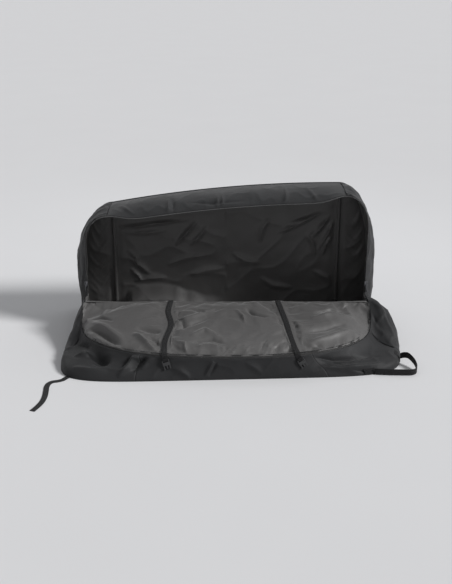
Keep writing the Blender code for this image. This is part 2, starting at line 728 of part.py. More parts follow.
def make_bellows(prefix, side):
    """Spread cloth between the tub's end and the lid: u 0 is at the tub, v 0 the upper edge."""
    tops = bellows_top(side)
    feet = bellows_foot(side)
    swells = RIGHT_SWELL if side > 0 else LEFT_SWELL
    last = skirt_curve(BELLOWS_START if side > 0 else 180 - BELLOWS_START)

    def point(u, v):
        top = tops[round(u * BELLOWS_STEPS)]
        foot = feet[round(u * BELLOWS_STEPS)]
        swell = math.sin(math.pi * u) ** 0.7 if 0 < u < 1 else 0.0
        inner = []
        for share, (outward, upward), end in ((1 / 3, swells[0], last[2]), (2 / 3, swells[1], last[1])):
            place = top.lerp(foot, share) + Vector((side * outward, 0.0, upward)) * swell
            inner.append(place.lerp(end, u ** 3))
        return bezier((top, inner[0], inner[1], foot), v)

    outside = Vector((side, -0.4, 0.6))
    return sheet(prefix, point, BELLOWS_STEPS, BELLOWS_ROWS, 0.0, SHELL, "outer_cloth", outside)


# Lid

def make_lid():
    down = Vector((0.0, 0.0, -1.0))
    up = Vector((0.0, 0.0, 1.0))
    inner = (FLOOR_STEPS - 2) / FLOOR_STEPS
    rows = (LID_ROWS - 1) / LID_ROWS
    parts = [
        sheet("lid_shell", lid_panel_point, FLOOR_STEPS, LID_ROWS, -SHELL, 0.0, "outer_cloth", down),
        sheet(
            "lid_foam", lambda u, v: lid_panel_point(0.5 + (u - 0.5) * inner, v * rows), FLOOR_STEPS - 2,
            LID_ROWS - 1, SHELL + LAYER_GAP, SHELL + LAYER_GAP + FOAM, "foam", up,
        ),
        sheet("lid_lining", lid_lining_point, LID_STEPS, LID_ROWS, -LINING, 0.0, "lining_cloth", up),
    ]
    seam = math.degrees(SEAM_GAP / FLOOR_REACH)
    first_seam = BELLOWS_START + math.degrees(BELLOWS_SEAM / HEM_HALF)
    sides = FLOOR_SIDE_STEPS / FLOOR_STEPS
    spans = (
        ("lid_right_gusset", 0.0, sides, first_seam, FRONT_START - seam, Vector((1.0, -0.5, 0.5))),
        ("lid_front_gusset", sides, 1 - sides, FRONT_START + seam, 180 - FRONT_START - seam, Vector((0.0, -1.0, 0.0))),
        ("lid_left_gusset", 1 - sides, 1.0, 180 - FRONT_START + seam, 180 - first_seam, Vector((-1.0, -0.5, 0.5))),
    )
    for name, start, end, low, high, outside in spans:
        def point(u, v, start=start, end=end, low=low, high=high):
            return skirt_point(min(high, max(low, lid_angle(start + (end - start) * u))), v)
        steps = round((end - start) * FLOOR_STEPS)
        parts.append(sheet(name, point, steps, SKIRT_ROWS, 0.0, SHELL, "outer_cloth", outside))
    return parts


# Zip

def zip_line():
    """Points along the tub's zip edge, from the right end of the fold to the left end."""
    points = []
    for curves, steps in ((curves_right, CORNER_STEPS), (curves_top, TOP_STEPS), (curves_left, CORNER_STEPS)):
        shares = [i / steps for i in range(steps + 1)]
        if curves is curves_left:
            shares.reverse()
        for share in shares:
            share = max(share, 0.004)
            place = zip_edge(curves, share) + curves(share)[2] * (SHELL / 2)
            place.y -= ZIP_SEAM
            points.append(place)
    return points


def make_tub_zip():
    places = zip_line()

    def point(u, v):
        place = places[round(u * (len(places) - 1))].copy()
        place.y -= TAPE_WIDTH * v
        return place
    sheet("tub_zip_tape", point, len(places) - 1, 1, -TAPE / 2, TAPE / 2, "zip_tape", Vector((0.0, 0.0, 1.0)))
    reach = Vector((0.0, TAPE_WIDTH + LAYER_GAP + COIL_RADIUS, 0.0))
    tube("tub_zip_coil", [place - reach for place in places], COIL_RADIUS, "zip_coil")


def lid_zip_place(u, inward, rise):
    """A place over the lid's lining, this far in from its edge."""
    edge = lid_lining_point(u, 1.0)
    along = (lid_lining_point(u, 1 - 1 / LID_ROWS) - edge).normalized()
    return edge + along * inward + Vector((0.0, 0.0, rise))


def make_lid_zip():
    first = ZIP_SKIPPED / LID_STEPS
    steps = LID_STEPS - 2 * ZIP_SKIPPED

    def point(u, v):
        return lid_zip_place(first + (1 - 2 * first) * u, TAPE_WIDTH * v, 2 * LAYER_GAP)
    up = Vector((0.0, 0.0, 1.0))
    tape = sheet("lid_zip_tape", point, steps, 1, 0.0, TAPE, "zip_tape", up)
    line = []
    for i in range(steps + 1):
        share = first + (1 - 2 * first) * i / steps
        line.append(lid_zip_place(share, TAPE_WIDTH + LAYER_GAP + COIL_RADIUS, COIL_RADIUS + 2 * LAYER_GAP))
    coil = tube("lid_zip_coil", line, COIL_RADIUS, "zip_coil")
    return [tape, coil]


def make_slider(prefix, side):
    """A slider on the straight run of the zip at one end of the tub, and its pull tab."""
    x = side * (ZIP_HALF + SHELL / 2)
    y = ZIP_Y - ZIP_SEAM - TAPE_WIDTH - LAYER_GAP - COIL_RADIUS
    low = FOLD_HEIGHT + SLIDER_START
    high = low + SLIDER_LENGTH
    groove = COIL_RADIUS + RUN_CLEARANCE
    half_x = groove + SLIDER_WALL
    body = box(
        prefix + "_slider", (x - half_x, y - SLIDER_WIDTH / 2, low), (x + half_x, y + SLIDER_WIDTH / 2, high),
        "zip_metal",
    )
    tool = box(
        prefix + "_slider_groove", (x - groove, y - groove, low - OVERRUN),
        (x + groove, y + SLIDER_WIDTH / 2 + OVERRUN, high + OVERRUN), "zip_metal", 0.0, "cutters",
    )
    cut(body, cutter(tool))
    foot = x + side * (half_x - BAIL_RADIUS)
    bail_x = x + side * (half_x + BAIL_RISE)
    leg = low + BAIL_RISE + BAIL_RADIUS
    top = high - BAIL_RISE
    arch = wire(prefix + "_bail", [(foot, y, leg), (bail_x, y, leg), (bail_x, y, top), (foot, y, top)], BAIL_RADIUS)
    join(body, cutter(arch))
    pull_x = x + side * (half_x + BAIL_RISE / 2 - BAIL_RADIUS / 2)
    half = PULL_WIDTH / 2
    hole = BAIL_RADIUS + RUN_CLEARANCE
    pull = box(
        prefix + "_pull_tab", (pull_x - PULL_THICKNESS / 2, y - half, leg + hole + PULL_THICKNESS - PULL_LENGTH),
        (pull_x + PULL_THICKNESS / 2, y + half, leg + hole + PULL_THICKNESS), "zip_metal",
    )
    eye = cylinder(
        prefix + "_pull_eye", hole, (pull_x - OVERRUN, y, leg), (pull_x + OVERRUN, y, leg), "zip_metal", "cutters"
    )
    cut(pull, cutter(eye))
    carrier = turning_point(prefix + "_slider_place", (x, y, low))
    hinge = turning_point(prefix + "_pull_hinge", (pull_x, y, leg))
    carry(carrier, body, arch, tool, hinge)
    carry(hinge, pull, eye)


# Rods

def make_rod(prefix, side):
    x = side * ROD_X
    y = BACK_Y - LAYER_GAP - ROD_BACK_SPACE - ROD_RADIUS
    reach = ROD_RADIUS + CAP_WALL + LAYER_GAP
    drop = back_inset((y + reach - ZIP_Y) / BODY_DEPTH)
    ceiling = min(top_height(x - reach), top_height(x + reach), top_height(x)) - drop - LINING - 6 * LAYER_GAP
    floor = FLOOR_TOP + LAYER_GAP
    foot_top = floor + CAP_END + LAYER_GAP
    head_low = ceiling - CAP_END - LAYER_GAP
    cylinder(prefix + "_rod", ROD_RADIUS, (x, y, foot_top), (x, y, head_low), "rod_aluminium")
    bore = ROD_RADIUS + LAYER_GAP
    for name, low, high, hole_low, hole_high in (
        ("foot_cap", floor, floor + CAP_LENGTH, floor + CAP_END, floor + CAP_LENGTH + OVERRUN),
        ("top_cap", ceiling - CAP_LENGTH, ceiling, ceiling - CAP_LENGTH - OVERRUN, ceiling - CAP_END),
    ):
        cap = cylinder(f"{prefix}_rod_{name}", bore + CAP_WALL, (x, y, low), (x, y, high), "rubber")
        hole = cylinder(f"{prefix}_{name}_bore", bore, (x, y, hole_low), (x, y, hole_high), "rubber", "cutters")
        cut(cap, cutter(hole))
    low = floor + SLEEVE_START
    high = ceiling - SLEEVE_TOP_SPACE
    back = BACK_Y - LAYER_GAP
    sleeve = box(
        prefix + "_rod_sleeve", (x - SLEEVE_WIDTH / 2, back - SLEEVE_DEPTH, low), (x + SLEEVE_WIDTH / 2, back, high),
        "lining_cloth", SLEEVE_DEPTH / 4,
    )
    tunnel = cylinder(
        prefix + "_sleeve_bore", bore, (x, y, low - OVERRUN), (x, y, high + OVERRUN), "lining_cloth", "cutters"
    )
    cut(sleeve, cutter(tunnel))


# Straps and buckles

def strap_route(route):
    """Centre line of a strap over the lid's lining, from the fold to the zip edge."""
    side = route[-1][1]
    reach = FOLD_Y - LID_SLACK - STRAP_END_SPACE - hem_at(side).y
    scale = reach / route[-1][0]
    points = []
    for place in smooth_route([(share * scale, x, 0.0) for share, x in route], ROUTE_STEPS):
        y = FOLD_Y - LID_SLACK - place.x - SEAM_GAP * (1 - place.x / reach)
        hump = STRAP_HUMP * math.exp(-(((reach - place.x - TAPE_WIDTH) / STRAP_HUMP_REACH) ** 2))
        points.append(Vector((place.y, y, lining_height(place.y, y) + STRAP_SURFACE_GAP + WEBBING / 2 + hump)))
    return points


def hem_at(x):
    """The point of the zip edge with this x."""
    low, high = 0.0, 180.0
    for _ in range(40):
        angle = (low + high) / 2
        if hem_point(angle).x > x:
            low = angle
        else:
            high = angle
    return hem_point(angle)


def lining_height(x, y):
    """Height of the lid's lining over a place on the floor, found by halving."""
    low_u, high_u = 0.0, 1.0
    best = None
    for _ in range(40):
        u = (low_u + high_u) / 2
        low_v, high_v = 0.0, 1.2
        for _ in range(30):
            v = (low_v + high_v) / 2
            if lid_lining_point(u, v).y > y:
                low_v = v
            else:
                high_v = v
        best = lid_lining_point(u, v)
        if best.x > x:
            low_u = u
        else:
            high_u = u
    return best.z


def make_tie_strap(prefix, route):
    points = strap_route(route)
    side = Vector((1.0, 0.0, 0.0))
    outer = ribbon(
        prefix + "_tie_strap_free_end", points, [side] * len(points), STRAP_WIDTH, WEBBING, "webbing"
    )
    x = route[0][1]
    low = FLOOR_TOP + PATCH + 2 * LAYER_GAP + WEBBING / 2
    high = FOLD_HEIGHT + LAYER_GAP + WEBBING / 2
    inner_y = FOLD_Y + WALL_STACK + LAYER_GAP + WEBBING / 2
    route_in = [Vector((x, inner_y + STRAP_ANCHOR_REACH, low)), Vector((x, inner_y + STRAP_BEND, low))]
    for i in range(1, 5):
        turn = math.pi / 2 * i / 4
        route_in.append(Vector((
            x, inner_y + STRAP_BEND * (1 - math.sin(turn)), low + STRAP_BEND * (1 - math.cos(turn))
        )))
    route_in += [Vector((x, inner_y, high)), Vector((x, FOLD_Y + LAYER_GAP, high))]
    ribbon(prefix + "_tie_strap_anchored_end", route_in, [side] * len(route_in), STRAP_WIDTH, WEBBING, "webbing")
    patch_y = inner_y + STRAP_ANCHOR_REACH - PATCH_SIDE / 2
    box(
        prefix + "_tie_strap_patch", (x - PATCH_SIDE / 2, patch_y - PATCH_SIDE / 2, FLOOR_TOP + LAYER_GAP),
        (x + PATCH_SIDE / 2, patch_y + PATCH_SIDE / 2, FLOOR_TOP + LAYER_GAP + PATCH), "webbing",
    )
    return outer, points


def make_strap_end(prefix, start, lean):
    """Short end of a tie strap that hangs over the zip edge, looped round the bar of its buckle."""
    edge = hem_at(start.x)
    foot = floor_point(90)
    foot.y += FLOOR_SKEW * (start.x - FLOOR_SHIFT) / FLOOR_HALF
    down = Vector((0.0, foot.y - edge.y, -edge.z)).normalized()
    face = Vector((0.0, down.z, -down.y))
    loop = BUCKLE_BAR / 2 + RUN_CLEARANCE + WEBBING / 2
    across = Vector((1.0, 0.0, 0.0))
    turn = math.radians(lean)
    slant = down * math.cos(turn) + across * math.sin(turn)
    side = across * math.cos(turn) - down * math.sin(turn)
    bar = Vector((start.x, edge.y, edge.z)) + face * TAIL_OFFSET + slant * TAIL_LENGTH
    top = Vector((start.x, start.y - SEAM_GAP, start.z))
    near = TAIL_OFFSET - loop
    points = [top, Vector((start.x, edge.y, edge.z)) + face * near * 0.80 + Vector((0.0, 0.0, near * 0.35))]
    points.append(bar - slant * (TAIL_LENGTH * 0.75) - face * loop)
    points.append(bar - slant * (TAIL_LENGTH * 0.40) - face * loop)
    for i in range(7):
        bend = math.pi * i / 6
        points.append(bar - face * (loop * math.cos(bend)) + slant * (loop * math.sin(bend)))
    points.append(bar + face * loop - slant * TAIL_RETURN)
    sides = [across, across.lerp(side, 0.5).normalized()] + [side] * (len(points) - 2)
    tail = ribbon(prefix + "_tie_strap_tail", points, sides, STRAP_WIDTH, WEBBING, "webbing")
    buckle_turn = turning_point(prefix + "_male_buckle_turn", bar)
    carry(buckle_turn, *make_male_buckle(prefix + "_male_buckle", bar, slant, face))
    tail_turn = turning_point(prefix + "_tie_strap_tail_turn", top)
    carry(tail_turn, tail, buckle_turn)
    return tail_turn


def buckle_frame(start, down, face):
    side = face.cross(down).normalized()
    turn = Matrix((side, -down, face)).transposed().to_4x4()
    return Matrix.Translation(start) @ turn


def buckle_end(name, frame, length, thickness):
    """Body of a buckle with two rails that carry a round bar at the frame's origin."""
    half = BUCKLE_WIDTH / 2
    thick = thickness / 2
    rail = STRAP_WIDTH / 2 + RUN_CLEARANCE
    slot = BUCKLE_BAR / 2 + BUCKLE_SLOT
    top = BUCKLE_BAR / 2 + BUCKLE_EDGE
    body = box(name, (-half, -length, -thick), (half, top, thick), "buckle_plastic")
    opening = box(
        name + "_slot", (-rail, -slot, -thick - OVERRUN), (rail, top + OVERRUN, thick + OVERRUN),
        "buckle_plastic", 0.0, "cutters",
    )
    ends = half - (half - rail) / 2
    bar = cylinder(
        name + "_bar", BUCKLE_BAR / 2, (-ends, 0.0, 0.0), (ends, 0.0, 0.0), "buckle_plastic", "cutters"
    )
    cut(body, cutter(opening))
    join(body, cutter(bar))
    for thing in (body, opening, bar):
        thing.data.transform(frame)
    return [body, opening, bar]


def make_male_buckle(name, start, down, face):
    """Male half of a side release buckle; it hangs from start along down, its flat side towards face."""
    frame = buckle_frame(start, down, face)
    length = MALE_LENGTH - PRONG_LENGTH
    things = buckle_end(name, frame, length, BUCKLE_THICKNESS)
    thin = BUCKLE_THICKNESS * 0.3
    half = BUCKLE_WIDTH / 2 - RUN_CLEARANCE
    spine = PRONG_WIDTH / 2
    for label, low_x, high_x, reach in (
        ("_left_prong", -half, -half + PRONG_WIDTH, PRONG_LENGTH),
        ("_right_prong", half - PRONG_WIDTH, half, PRONG_LENGTH),
        ("_tongue", -spine, spine, PRONG_LENGTH * 0.8),
    ):
        prong = box(
            name + label, (low_x, -length - reach, -thin), (high_x, -length + BUCKLE_BAR, thin),
            "buckle_plastic", 0.0, "cutters",
        )
        prong.data.transform(frame)
        join(things[0], cutter(prong))
        things.append(prong)
    return things


def make_mate(prefix, x):
    """Short strap on the tub's floor with the female half of the buckle."""
    back = BACK_Y - MATE_SETBACK
    loop = BUCKLE_BAR / 2 + RUN_CLEARANCE + WEBBING / 2
    low = FLOOR_TOP + PATCH + 2 * LAYER_GAP + WEBBING / 2
    thickness = BUCKLE_THICKNESS * 1.2
    bar = Vector((x, back - MATE_LENGTH, max(FLOOR_TOP + 2 * LAYER_GAP + thickness / 2, low + loop)))
    side = Vector((1.0, 0.0, 0.0))
    ahead = Vector((0.0, -1.0, 0.0))
    up = Vector((0.0, 0.0, 1.0))
    points = [Vector((x, back, low)), Vector((x, back - MATE_LENGTH * 0.4, low))]
    points.append(Vector((x, back - MATE_LENGTH * 0.75, bar.z - loop)))
    for i in range(7):
        bend = math.pi * i / 6
        points.append(bar - up * (loop * math.cos(bend)) + ahead * (loop * math.sin(bend)))
    points.append(bar + up * loop - ahead * TAIL_RETURN)
    ribbon(prefix + "_mate_strap", points, [side] * len(points), STRAP_WIDTH, WEBBING, "webbing")
    box(
        prefix + "_mate_patch", (x - PATCH_SIDE / 2, back - PATCH_SIDE * 0.8, FLOOR_TOP + LAYER_GAP),
        (x + PATCH_SIDE / 2, back + PATCH_SIDE * 0.2, FLOOR_TOP + LAYER_GAP + PATCH), "webbing",
    )
    frame = buckle_frame(bar, ahead, up)
    things = buckle_end(prefix + "_female_buckle", frame, FEMALE_LENGTH, thickness)
    half = BUCKLE_WIDTH / 2 - BUCKLE_BAR / 2
    thin = thickness * 0.32
    mouth = box(
        prefix + "_female_mouth", (-half, -FEMALE_LENGTH - OVERRUN, -thin), (half, -FEMALE_LENGTH * 0.42, thin),
        "buckle_plastic", 0.0, "cutters",
    )
    mouth.data.transform(frame)
    cut(things[0], cutter(mouth))
    hinge = turning_point(prefix + "_female_hinge", bar)
    carry(hinge, *things, mouth)


def make_handle_patch(name, first, last):
    """Sewn square under one end of the grab handle, on the lid's right gusset."""
    def point(u, v):
        return skirt_point(first + (last - first) * u, HANDLE_PATCH_SHARE * (0.06 + 0.94 * v))
    low = SHELL + PATCH_GAP
    return sheet(name, point, 4, 6, low, low + PATCH, "webbing", Vector((1.0, -0.5, 0.5)))


def make_handle():
    route = smooth_route([(ZIP_HALF + x, y, z) for x, y, z in HANDLE_ROUTE], ROUTE_STEPS)
    up = Vector((0.0, 0.0, 1.0))
    sides = [up] * len(route)
    turn = turning_point("grab_handle_turn", route[0] - up * (HANDLE_WIDTH / 2))
    carry(turn, ribbon("right_grab_handle", route, sides, HANDLE_WIDTH, HANDLE_THICKNESS, "webbing"))
    return turn


def make_haul_strap():
    z = HAUL_LIFT + WEBBING / 2
    route = smooth_route([(x - ZIP_HALF, y, z) for x, y in HAUL_ROUTE], ROUTE_STEPS + 8)
    sides = []
    for i in range(len(route)):
        along = (route[min(i + 1, len(route) - 1)] - route[max(i - 1, 0)]).normalized()
        sides.append(along.cross(Vector((0.0, 0.0, 1.0))).normalized())
    turn = turning_point("haul_strap_turn", Vector((route[0].x, route[0].y, 0.0)))
    carry(turn, ribbon("left_haul_strap", route, sides, HAUL_WIDTH, WEBBING, "webbing"))
    return turn


def main():
    clear_scene()
    collection(NAME)
    collection("cutters").hide_render = True
    make_base()
    make_back()
    make_ring()
    make_front_wall()
    make_bellows("right_bellows", 1.0)
    make_bellows("left_bellows", -1.0)
    make_tub_zip()
    make_slider("right", 1.0)
    make_slider("left", -1.0)
    make_rod("right", 1.0)
    make_rod("left", -1.0)
    fold = turning_point("lid_fold", (0.0, FOLD_Y, HINGE_Z))
    lid = make_lid() + make_lid_zip()
    for prefix, route, lean in (
        ("left", LEFT_STRAP_ROUTE, LEFT_TAIL_LEAN), ("right", RIGHT_STRAP_ROUTE, RIGHT_TAIL_LEAN)
    ):
        outer, points = make_tie_strap(prefix, route)
        lid += [outer, make_strap_end(prefix, points[-1], lean)]
        make_mate(prefix, route[0][1])
    lid += [make_handle(), make_haul_strap()]
    lid.append(make_handle_patch("grab_handle_upper_patch", *TOP_PATCH_ANGLES))
    lid.append(make_handle_patch("grab_handle_lower_patch", *FOOT_PATCH_ANGLES))
    carry(fold, *lid)


main()
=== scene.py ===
# Looks of the soft bike travel bag: its cloth, folds, webbing, zip and buckles, set in the frame
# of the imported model, with a floor, lamps and a camera. Metres, +Z up, the open side towards -Y.

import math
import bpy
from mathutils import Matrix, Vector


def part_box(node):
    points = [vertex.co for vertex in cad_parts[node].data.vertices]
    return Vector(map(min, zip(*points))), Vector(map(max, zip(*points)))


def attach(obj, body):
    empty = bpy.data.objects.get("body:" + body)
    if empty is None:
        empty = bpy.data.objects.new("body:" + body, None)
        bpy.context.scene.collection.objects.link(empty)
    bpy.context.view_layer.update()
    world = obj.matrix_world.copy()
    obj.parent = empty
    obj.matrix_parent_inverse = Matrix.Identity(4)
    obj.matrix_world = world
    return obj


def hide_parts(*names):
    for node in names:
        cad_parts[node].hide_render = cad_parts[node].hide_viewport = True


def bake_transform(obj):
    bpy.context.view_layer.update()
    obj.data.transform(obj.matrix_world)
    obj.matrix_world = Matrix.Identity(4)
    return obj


bl_info = {
    "name": "Soft bike travel bag",
    "version": (1, 0, 0),
    "blender": (4, 5, 0),
    "location": "View3D > Sidebar > Travel bag",
    "description": "Cloth, straps, zip and stage of an open travel bag",
    "category": "Object",
}

import bmesh
import bpy
from mathutils.bvhtree import BVHTree
from mathutils import Matrix, Vector, noise

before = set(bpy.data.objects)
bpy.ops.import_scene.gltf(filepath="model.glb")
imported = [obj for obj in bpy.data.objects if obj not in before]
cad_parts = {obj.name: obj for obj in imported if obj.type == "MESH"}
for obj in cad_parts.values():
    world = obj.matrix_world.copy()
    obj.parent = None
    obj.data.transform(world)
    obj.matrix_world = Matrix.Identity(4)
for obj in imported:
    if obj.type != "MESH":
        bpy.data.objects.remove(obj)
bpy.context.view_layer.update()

# Sizes of the construction, as in the part's source
LAYER_GAP = 0.0004
SEAM_GAP = 0.0010
ZIP_SEAM = 0.0020
SHELL = 0.0020
LINING = 0.0012
FOAM = 0.0080
BOARD = 0.0040
WEBBING = 0.0018
ZIP_HALF = 0.712
END_LEAN = 0.043
END_BULGE = 0.020
BODY_DEPTH = 0.290
LID_DEPTH = 0.110
SHOULDER_HEIGHT = 0.290
FOLD_HEIGHT = 0.192
TOP_RIGHT = 0.718
TOP_LEFT = 0.612
TOP_CROWN = 0.028
ROD_INSET = 0.112
CREST_SHARE = 0.50
BACK_INSET = 0.016
ZIP_STRAIGHT_RIGHT = 0.540
ZIP_STRAIGHT_LEFT = 0.460
ZIP_ROD_DROP = 0.009
ZIP_TOP_DROP = 0.046
ROD_REACH = 0.090
BASE_SPACE = 0.0050
WALL_SPACE = 0.0032
HEM_SPREAD = 0.008
HEM_REACH = 0.470
HEM_SETBACK = 0.025
HEM_HEIGHT = 0.104
HEM_POWER = 2.5
HEM_RISE_REACH = 0.200
FLOOR_SPREAD = 0.103
FLOOR_REACH = 0.480
FLOOR_SHIFT = 0.028
FLOOR_POWER = 6.5
FLOOR_SKEW = 0.042
SKIRT_FLAT = 0.030
SKIRT_SLUMPED = 0.180
RIDGE_HEIGHT = 0.085
HOLLOW_SHARE = 0.75
LINING_CROWN = 0.016
BELLOWS_START = 10.7
FRONT_START = 47.0
LID_FOLD_SPACE = 0.004
LID_PANEL_SPACE = 0.012
LID_SLACK = 0.0010
LID_SLOPE_POWER = 1.5
LID_EDGE_POWER = 2.6
LID_SPREAD_POWER = 6.0
CORNER_ANGLE = 45.0
SPREAD_SHARE = 0.75
RIGHT_FOOT = ((0.013, -0.148), (0.057, -0.215), (0.087, -0.305), (0.098, -0.395), (0.095, -0.480))
LEFT_FOOT = ((-0.009, -0.148), (-0.021, -0.215), (-0.031, -0.305), (-0.035, -0.395), (-0.035, -0.480))
RIGHT_SWELL = ((0.050, 0.085), (0.070, 0.050))
LEFT_SWELL = ((0.006, 0.022), (0.012, 0.014))
BELLOWS_GAP = 0.0012
BELLOWS_LIFT = 0.0015
TAPE = 0.0010
TAPE_WIDTH = 0.012
COIL_RADIUS = 0.0021
ROD_RADIUS = 0.0050
ROD_BACK_SPACE = 0.0030
SLEEVE_WIDTH = 0.026
STRAP_WIDTH = 0.025
STRAP_ANCHOR_REACH = 0.110
STRAP_BEND = 0.012
STRAP_SURFACE_GAP = 0.0012
LEFT_STRAP_ROUTE = ((0.002, -0.278), (0.10, -0.284), (0.20, -0.264), (0.31, -0.286), (0.40, -0.284))
RIGHT_STRAP_ROUTE = ((0.002, 0.262), (0.09, 0.275), (0.19, 0.292), (0.29, 0.306), (0.40, 0.330))
STRAP_END_SPACE = 0.001
STRAP_HUMP = 0.0062
STRAP_HUMP_REACH = 0.022
TAIL_OFFSET = 0.0098
TAIL_LENGTH = 0.022
TAIL_RETURN = 0.011
LEFT_TAIL_LEAN = 18.0
RIGHT_TAIL_LEAN = 34.0
PATCH_SIDE = 0.050
PATCH = 0.0014
PATCH_GAP = 0.0008
BUCKLE_THICKNESS = 0.0085
BUCKLE_BAR = 0.0034
RUN_CLEARANCE = 0.0005
MATE_LENGTH = 0.090
MATE_SETBACK = 0.060
HANDLE_WIDTH = 0.030
HANDLE_THICKNESS = 0.0030
HANDLE_ROUTE = (
    (0.1209, -0.5700, 0.0330), (0.1370, -0.5765, 0.0405), (0.1560, -0.591, 0.0435), (0.1740, -0.624, 0.0340),
    (0.1810, -0.656, 0.0250), (0.1790, -0.686, 0.0195), (0.1680, -0.708, 0.0178), (0.1480, -0.7185, 0.0175),
    (0.1200, -0.7195, 0.0175), (0.0880, -0.7185, 0.0175), (0.0530, -0.7175, 0.0175), (0.0180, -0.7150, 0.0175),
    (-0.0060, -0.7120, 0.0175), (-0.0200, -0.7095, 0.0175),
)
HANDLE_PATCH_SHARE = 0.30
TOP_PATCH_ANGLES = (11.6, 16.0)
FOOT_PATCH_ANGLES = (30.5, 34.5)
HAUL_WIDTH = 0.025
HAUL_ROUTE = (
    (-0.0193, -0.7331), (-0.0280, -0.7485), (-0.0390, -0.766), (-0.0580, -0.778), (-0.0810, -0.786),
    (-0.0950, -0.806), (-0.0980, -0.838), (-0.0940, -0.875), (-0.0900, -0.915), (-0.0890, -0.950),
    (-0.0920, -0.985), (-0.0990, -1.015), (-0.1080, -1.042), (-0.1180, -1.068),
)
HAUL_LIFT = 0.0005
FRONT_STEPS = 2
LOW_STEPS = 2
CORNER_STEPS = 12
DEPTH_STEPS = 6
LID_STEPS = 24
LID_ROWS = 7
ZIP_SKIPPED = 3
FLOOR_SIDE_STEPS = 9
FLOOR_FRONT_STEPS = 14
SKIRT_ROWS = 6

# Places that follow from them
BASE_HALF = ZIP_HALF + END_LEAN
HALF_LENGTH = BASE_HALF + END_BULGE
ROD_X = ZIP_HALF - ROD_INSET
HEM_HALF = ZIP_HALF + HEM_SPREAD
FLOOR_HALF = ZIP_HALF + FLOOR_SPREAD
LID_FOLD_HALF = ZIP_HALF - LID_FOLD_SPACE
BACK_Y = BODY_DEPTH / 2
ZIP_Y = -BODY_DEPTH / 2
FOLD_Y = ZIP_Y - LID_DEPTH
FLOOR_STEPS = 2 * FLOOR_SIDE_STEPS + FLOOR_FRONT_STEPS
BASE_TOP = SHELL + LAYER_GAP
FLOOR_TOP = BASE_TOP + BOARD + LAYER_GAP + LINING
BACK_STACK = SHELL + FOAM + LINING + 2 * LAYER_GAP
BACK_FACE = BACK_Y + LAYER_GAP
WALL_STACK = SHELL + FOAM + LINING + 2 * LAYER_GAP
OUTLINE_Y = FOLD_Y - HEM_SETBACK
LOW_SHARE = LOW_STEPS / (LOW_STEPS + CORNER_STEPS)
FRONT_SHARE = FRONT_STEPS / (FRONT_STEPS + DEPTH_STEPS)
STRAP_ROUTES = (LEFT_STRAP_ROUTE, RIGHT_STRAP_ROUTE)

X_AXIS = Vector((1.0, 0.0, 0.0))
Y_AXIS = Vector((0.0, 1.0, 0.0))
UP = Vector((0.0, 0.0, 1.0))

SIDES = (("right", 1.0), ("left", -1.0))

# How a fold is drawn: its reach in half widths, and how it narrows and dies out towards its ends
FOLD_REACH = 3
FOLD_TAPER = 0.8
FOLD_END_WIDTH, FOLD_WIDENING = 0.55, 0.60
FOLD_POWER = 1.6

# Detail of straps, cords, stitches and rounded pieces
STRAP_COLUMNS, CORD_SIDES, ROUTE_PARTS = 6, 10, 12
STRAP_EDGE_SHARE = 0.32
STITCH_WIDTH, STITCH_HEIGHT = 0.0006, 0.0005
STITCH_PITCH, SHORTEST_STITCH = 1.35, 0.2
STITCH_RISE = 0.0001
SHARE_STEP = 0.003
SAME_PLACE, SAME_HEIGHT, SAME_SHARE, NO_MOVE = 1e-5, 1e-6, 1e-6, 1e-7
NEARLY_ALONG, CORD_MERGE = 0.2, 0.02
FLAT_ANGLE, EDGE_ANGLE, CAP_EDGE_ANGLE = math.radians(1), math.radians(30), math.radians(50)
BOARD_ROUNDING, SLIDER_ROUNDING, ROD_ROUNDING = 0.0012, 0.0007, 0.0007
SMALL_ROUNDING, PRONG_ROUNDING, SOCKET_ROUNDING = 0.0006, 0.0008, 0.0010

# Steps of bends, rows and searches, and points along routes
LOOP_PARTS, BEND_PARTS, FOLD_PARTS, ROW_STEPS = 8, 8, 4, 6
SEARCH_PARTS, FINER_PARTS, SEARCH_ROUNDS, FEWEST_STEPS = 24, 8, 3, 8
HAUL_POINTS, STRAP_POINTS, HANDLE_POINTS, BELLOWS_POINTS, SEAM_POINTS = 120, 90, 100, 61, 25
SIDE_POINTS, PIPING_POINTS, ZIP_POINTS, LID_ZIP_PARTS = 101, 300, 500, 400

# Pitches of weave, ribs and teeth in the materials
LINING_WEAVE_SHARE = 0.6
TAPE_PITCHES = (0.0009, 0.0006)
RIB_PITCH, RIB_SKEW, TOOTH_PITCH = 0.0021, 0.0031, 0.0022
SHEEN_ROUGHNESS = 0.45

# The simulated linings: how much too large they are, their share of gravity and how far a point may
# move; the shares at their edges that are held
SETTLE_FRAMES = 20
BACK_SLACK, BACK_WEIGHT, BACK_MOVE = 0.012, 0.6, 0.010
LID_TOO_LARGE, LID_WEIGHT, LID_MOVE = 0.030, 0.0, 0.012
PINNED_U, PINNED_V = 0.006, 0.02
LINING_OVER_FOAM = 0.006

# Where folds keep clear of sleeves and straps, and how the fold line sags
SLEEVE_CLEAR, SLEEVE_FADE = 0.016, 0.030
STRAP_CLEAR, STRAP_FADE, STRAP_OVERRUN = 0.014, 0.026, 0.02
FOLD_DIP, DIP_INSET, DIP_FADE = 0.0035, 0.03, 0.08
DIP_CLEAR, BASE_CLEAR = (0.018, 0.03), (0.035, 0.05)
SAG_REACH = 0.5

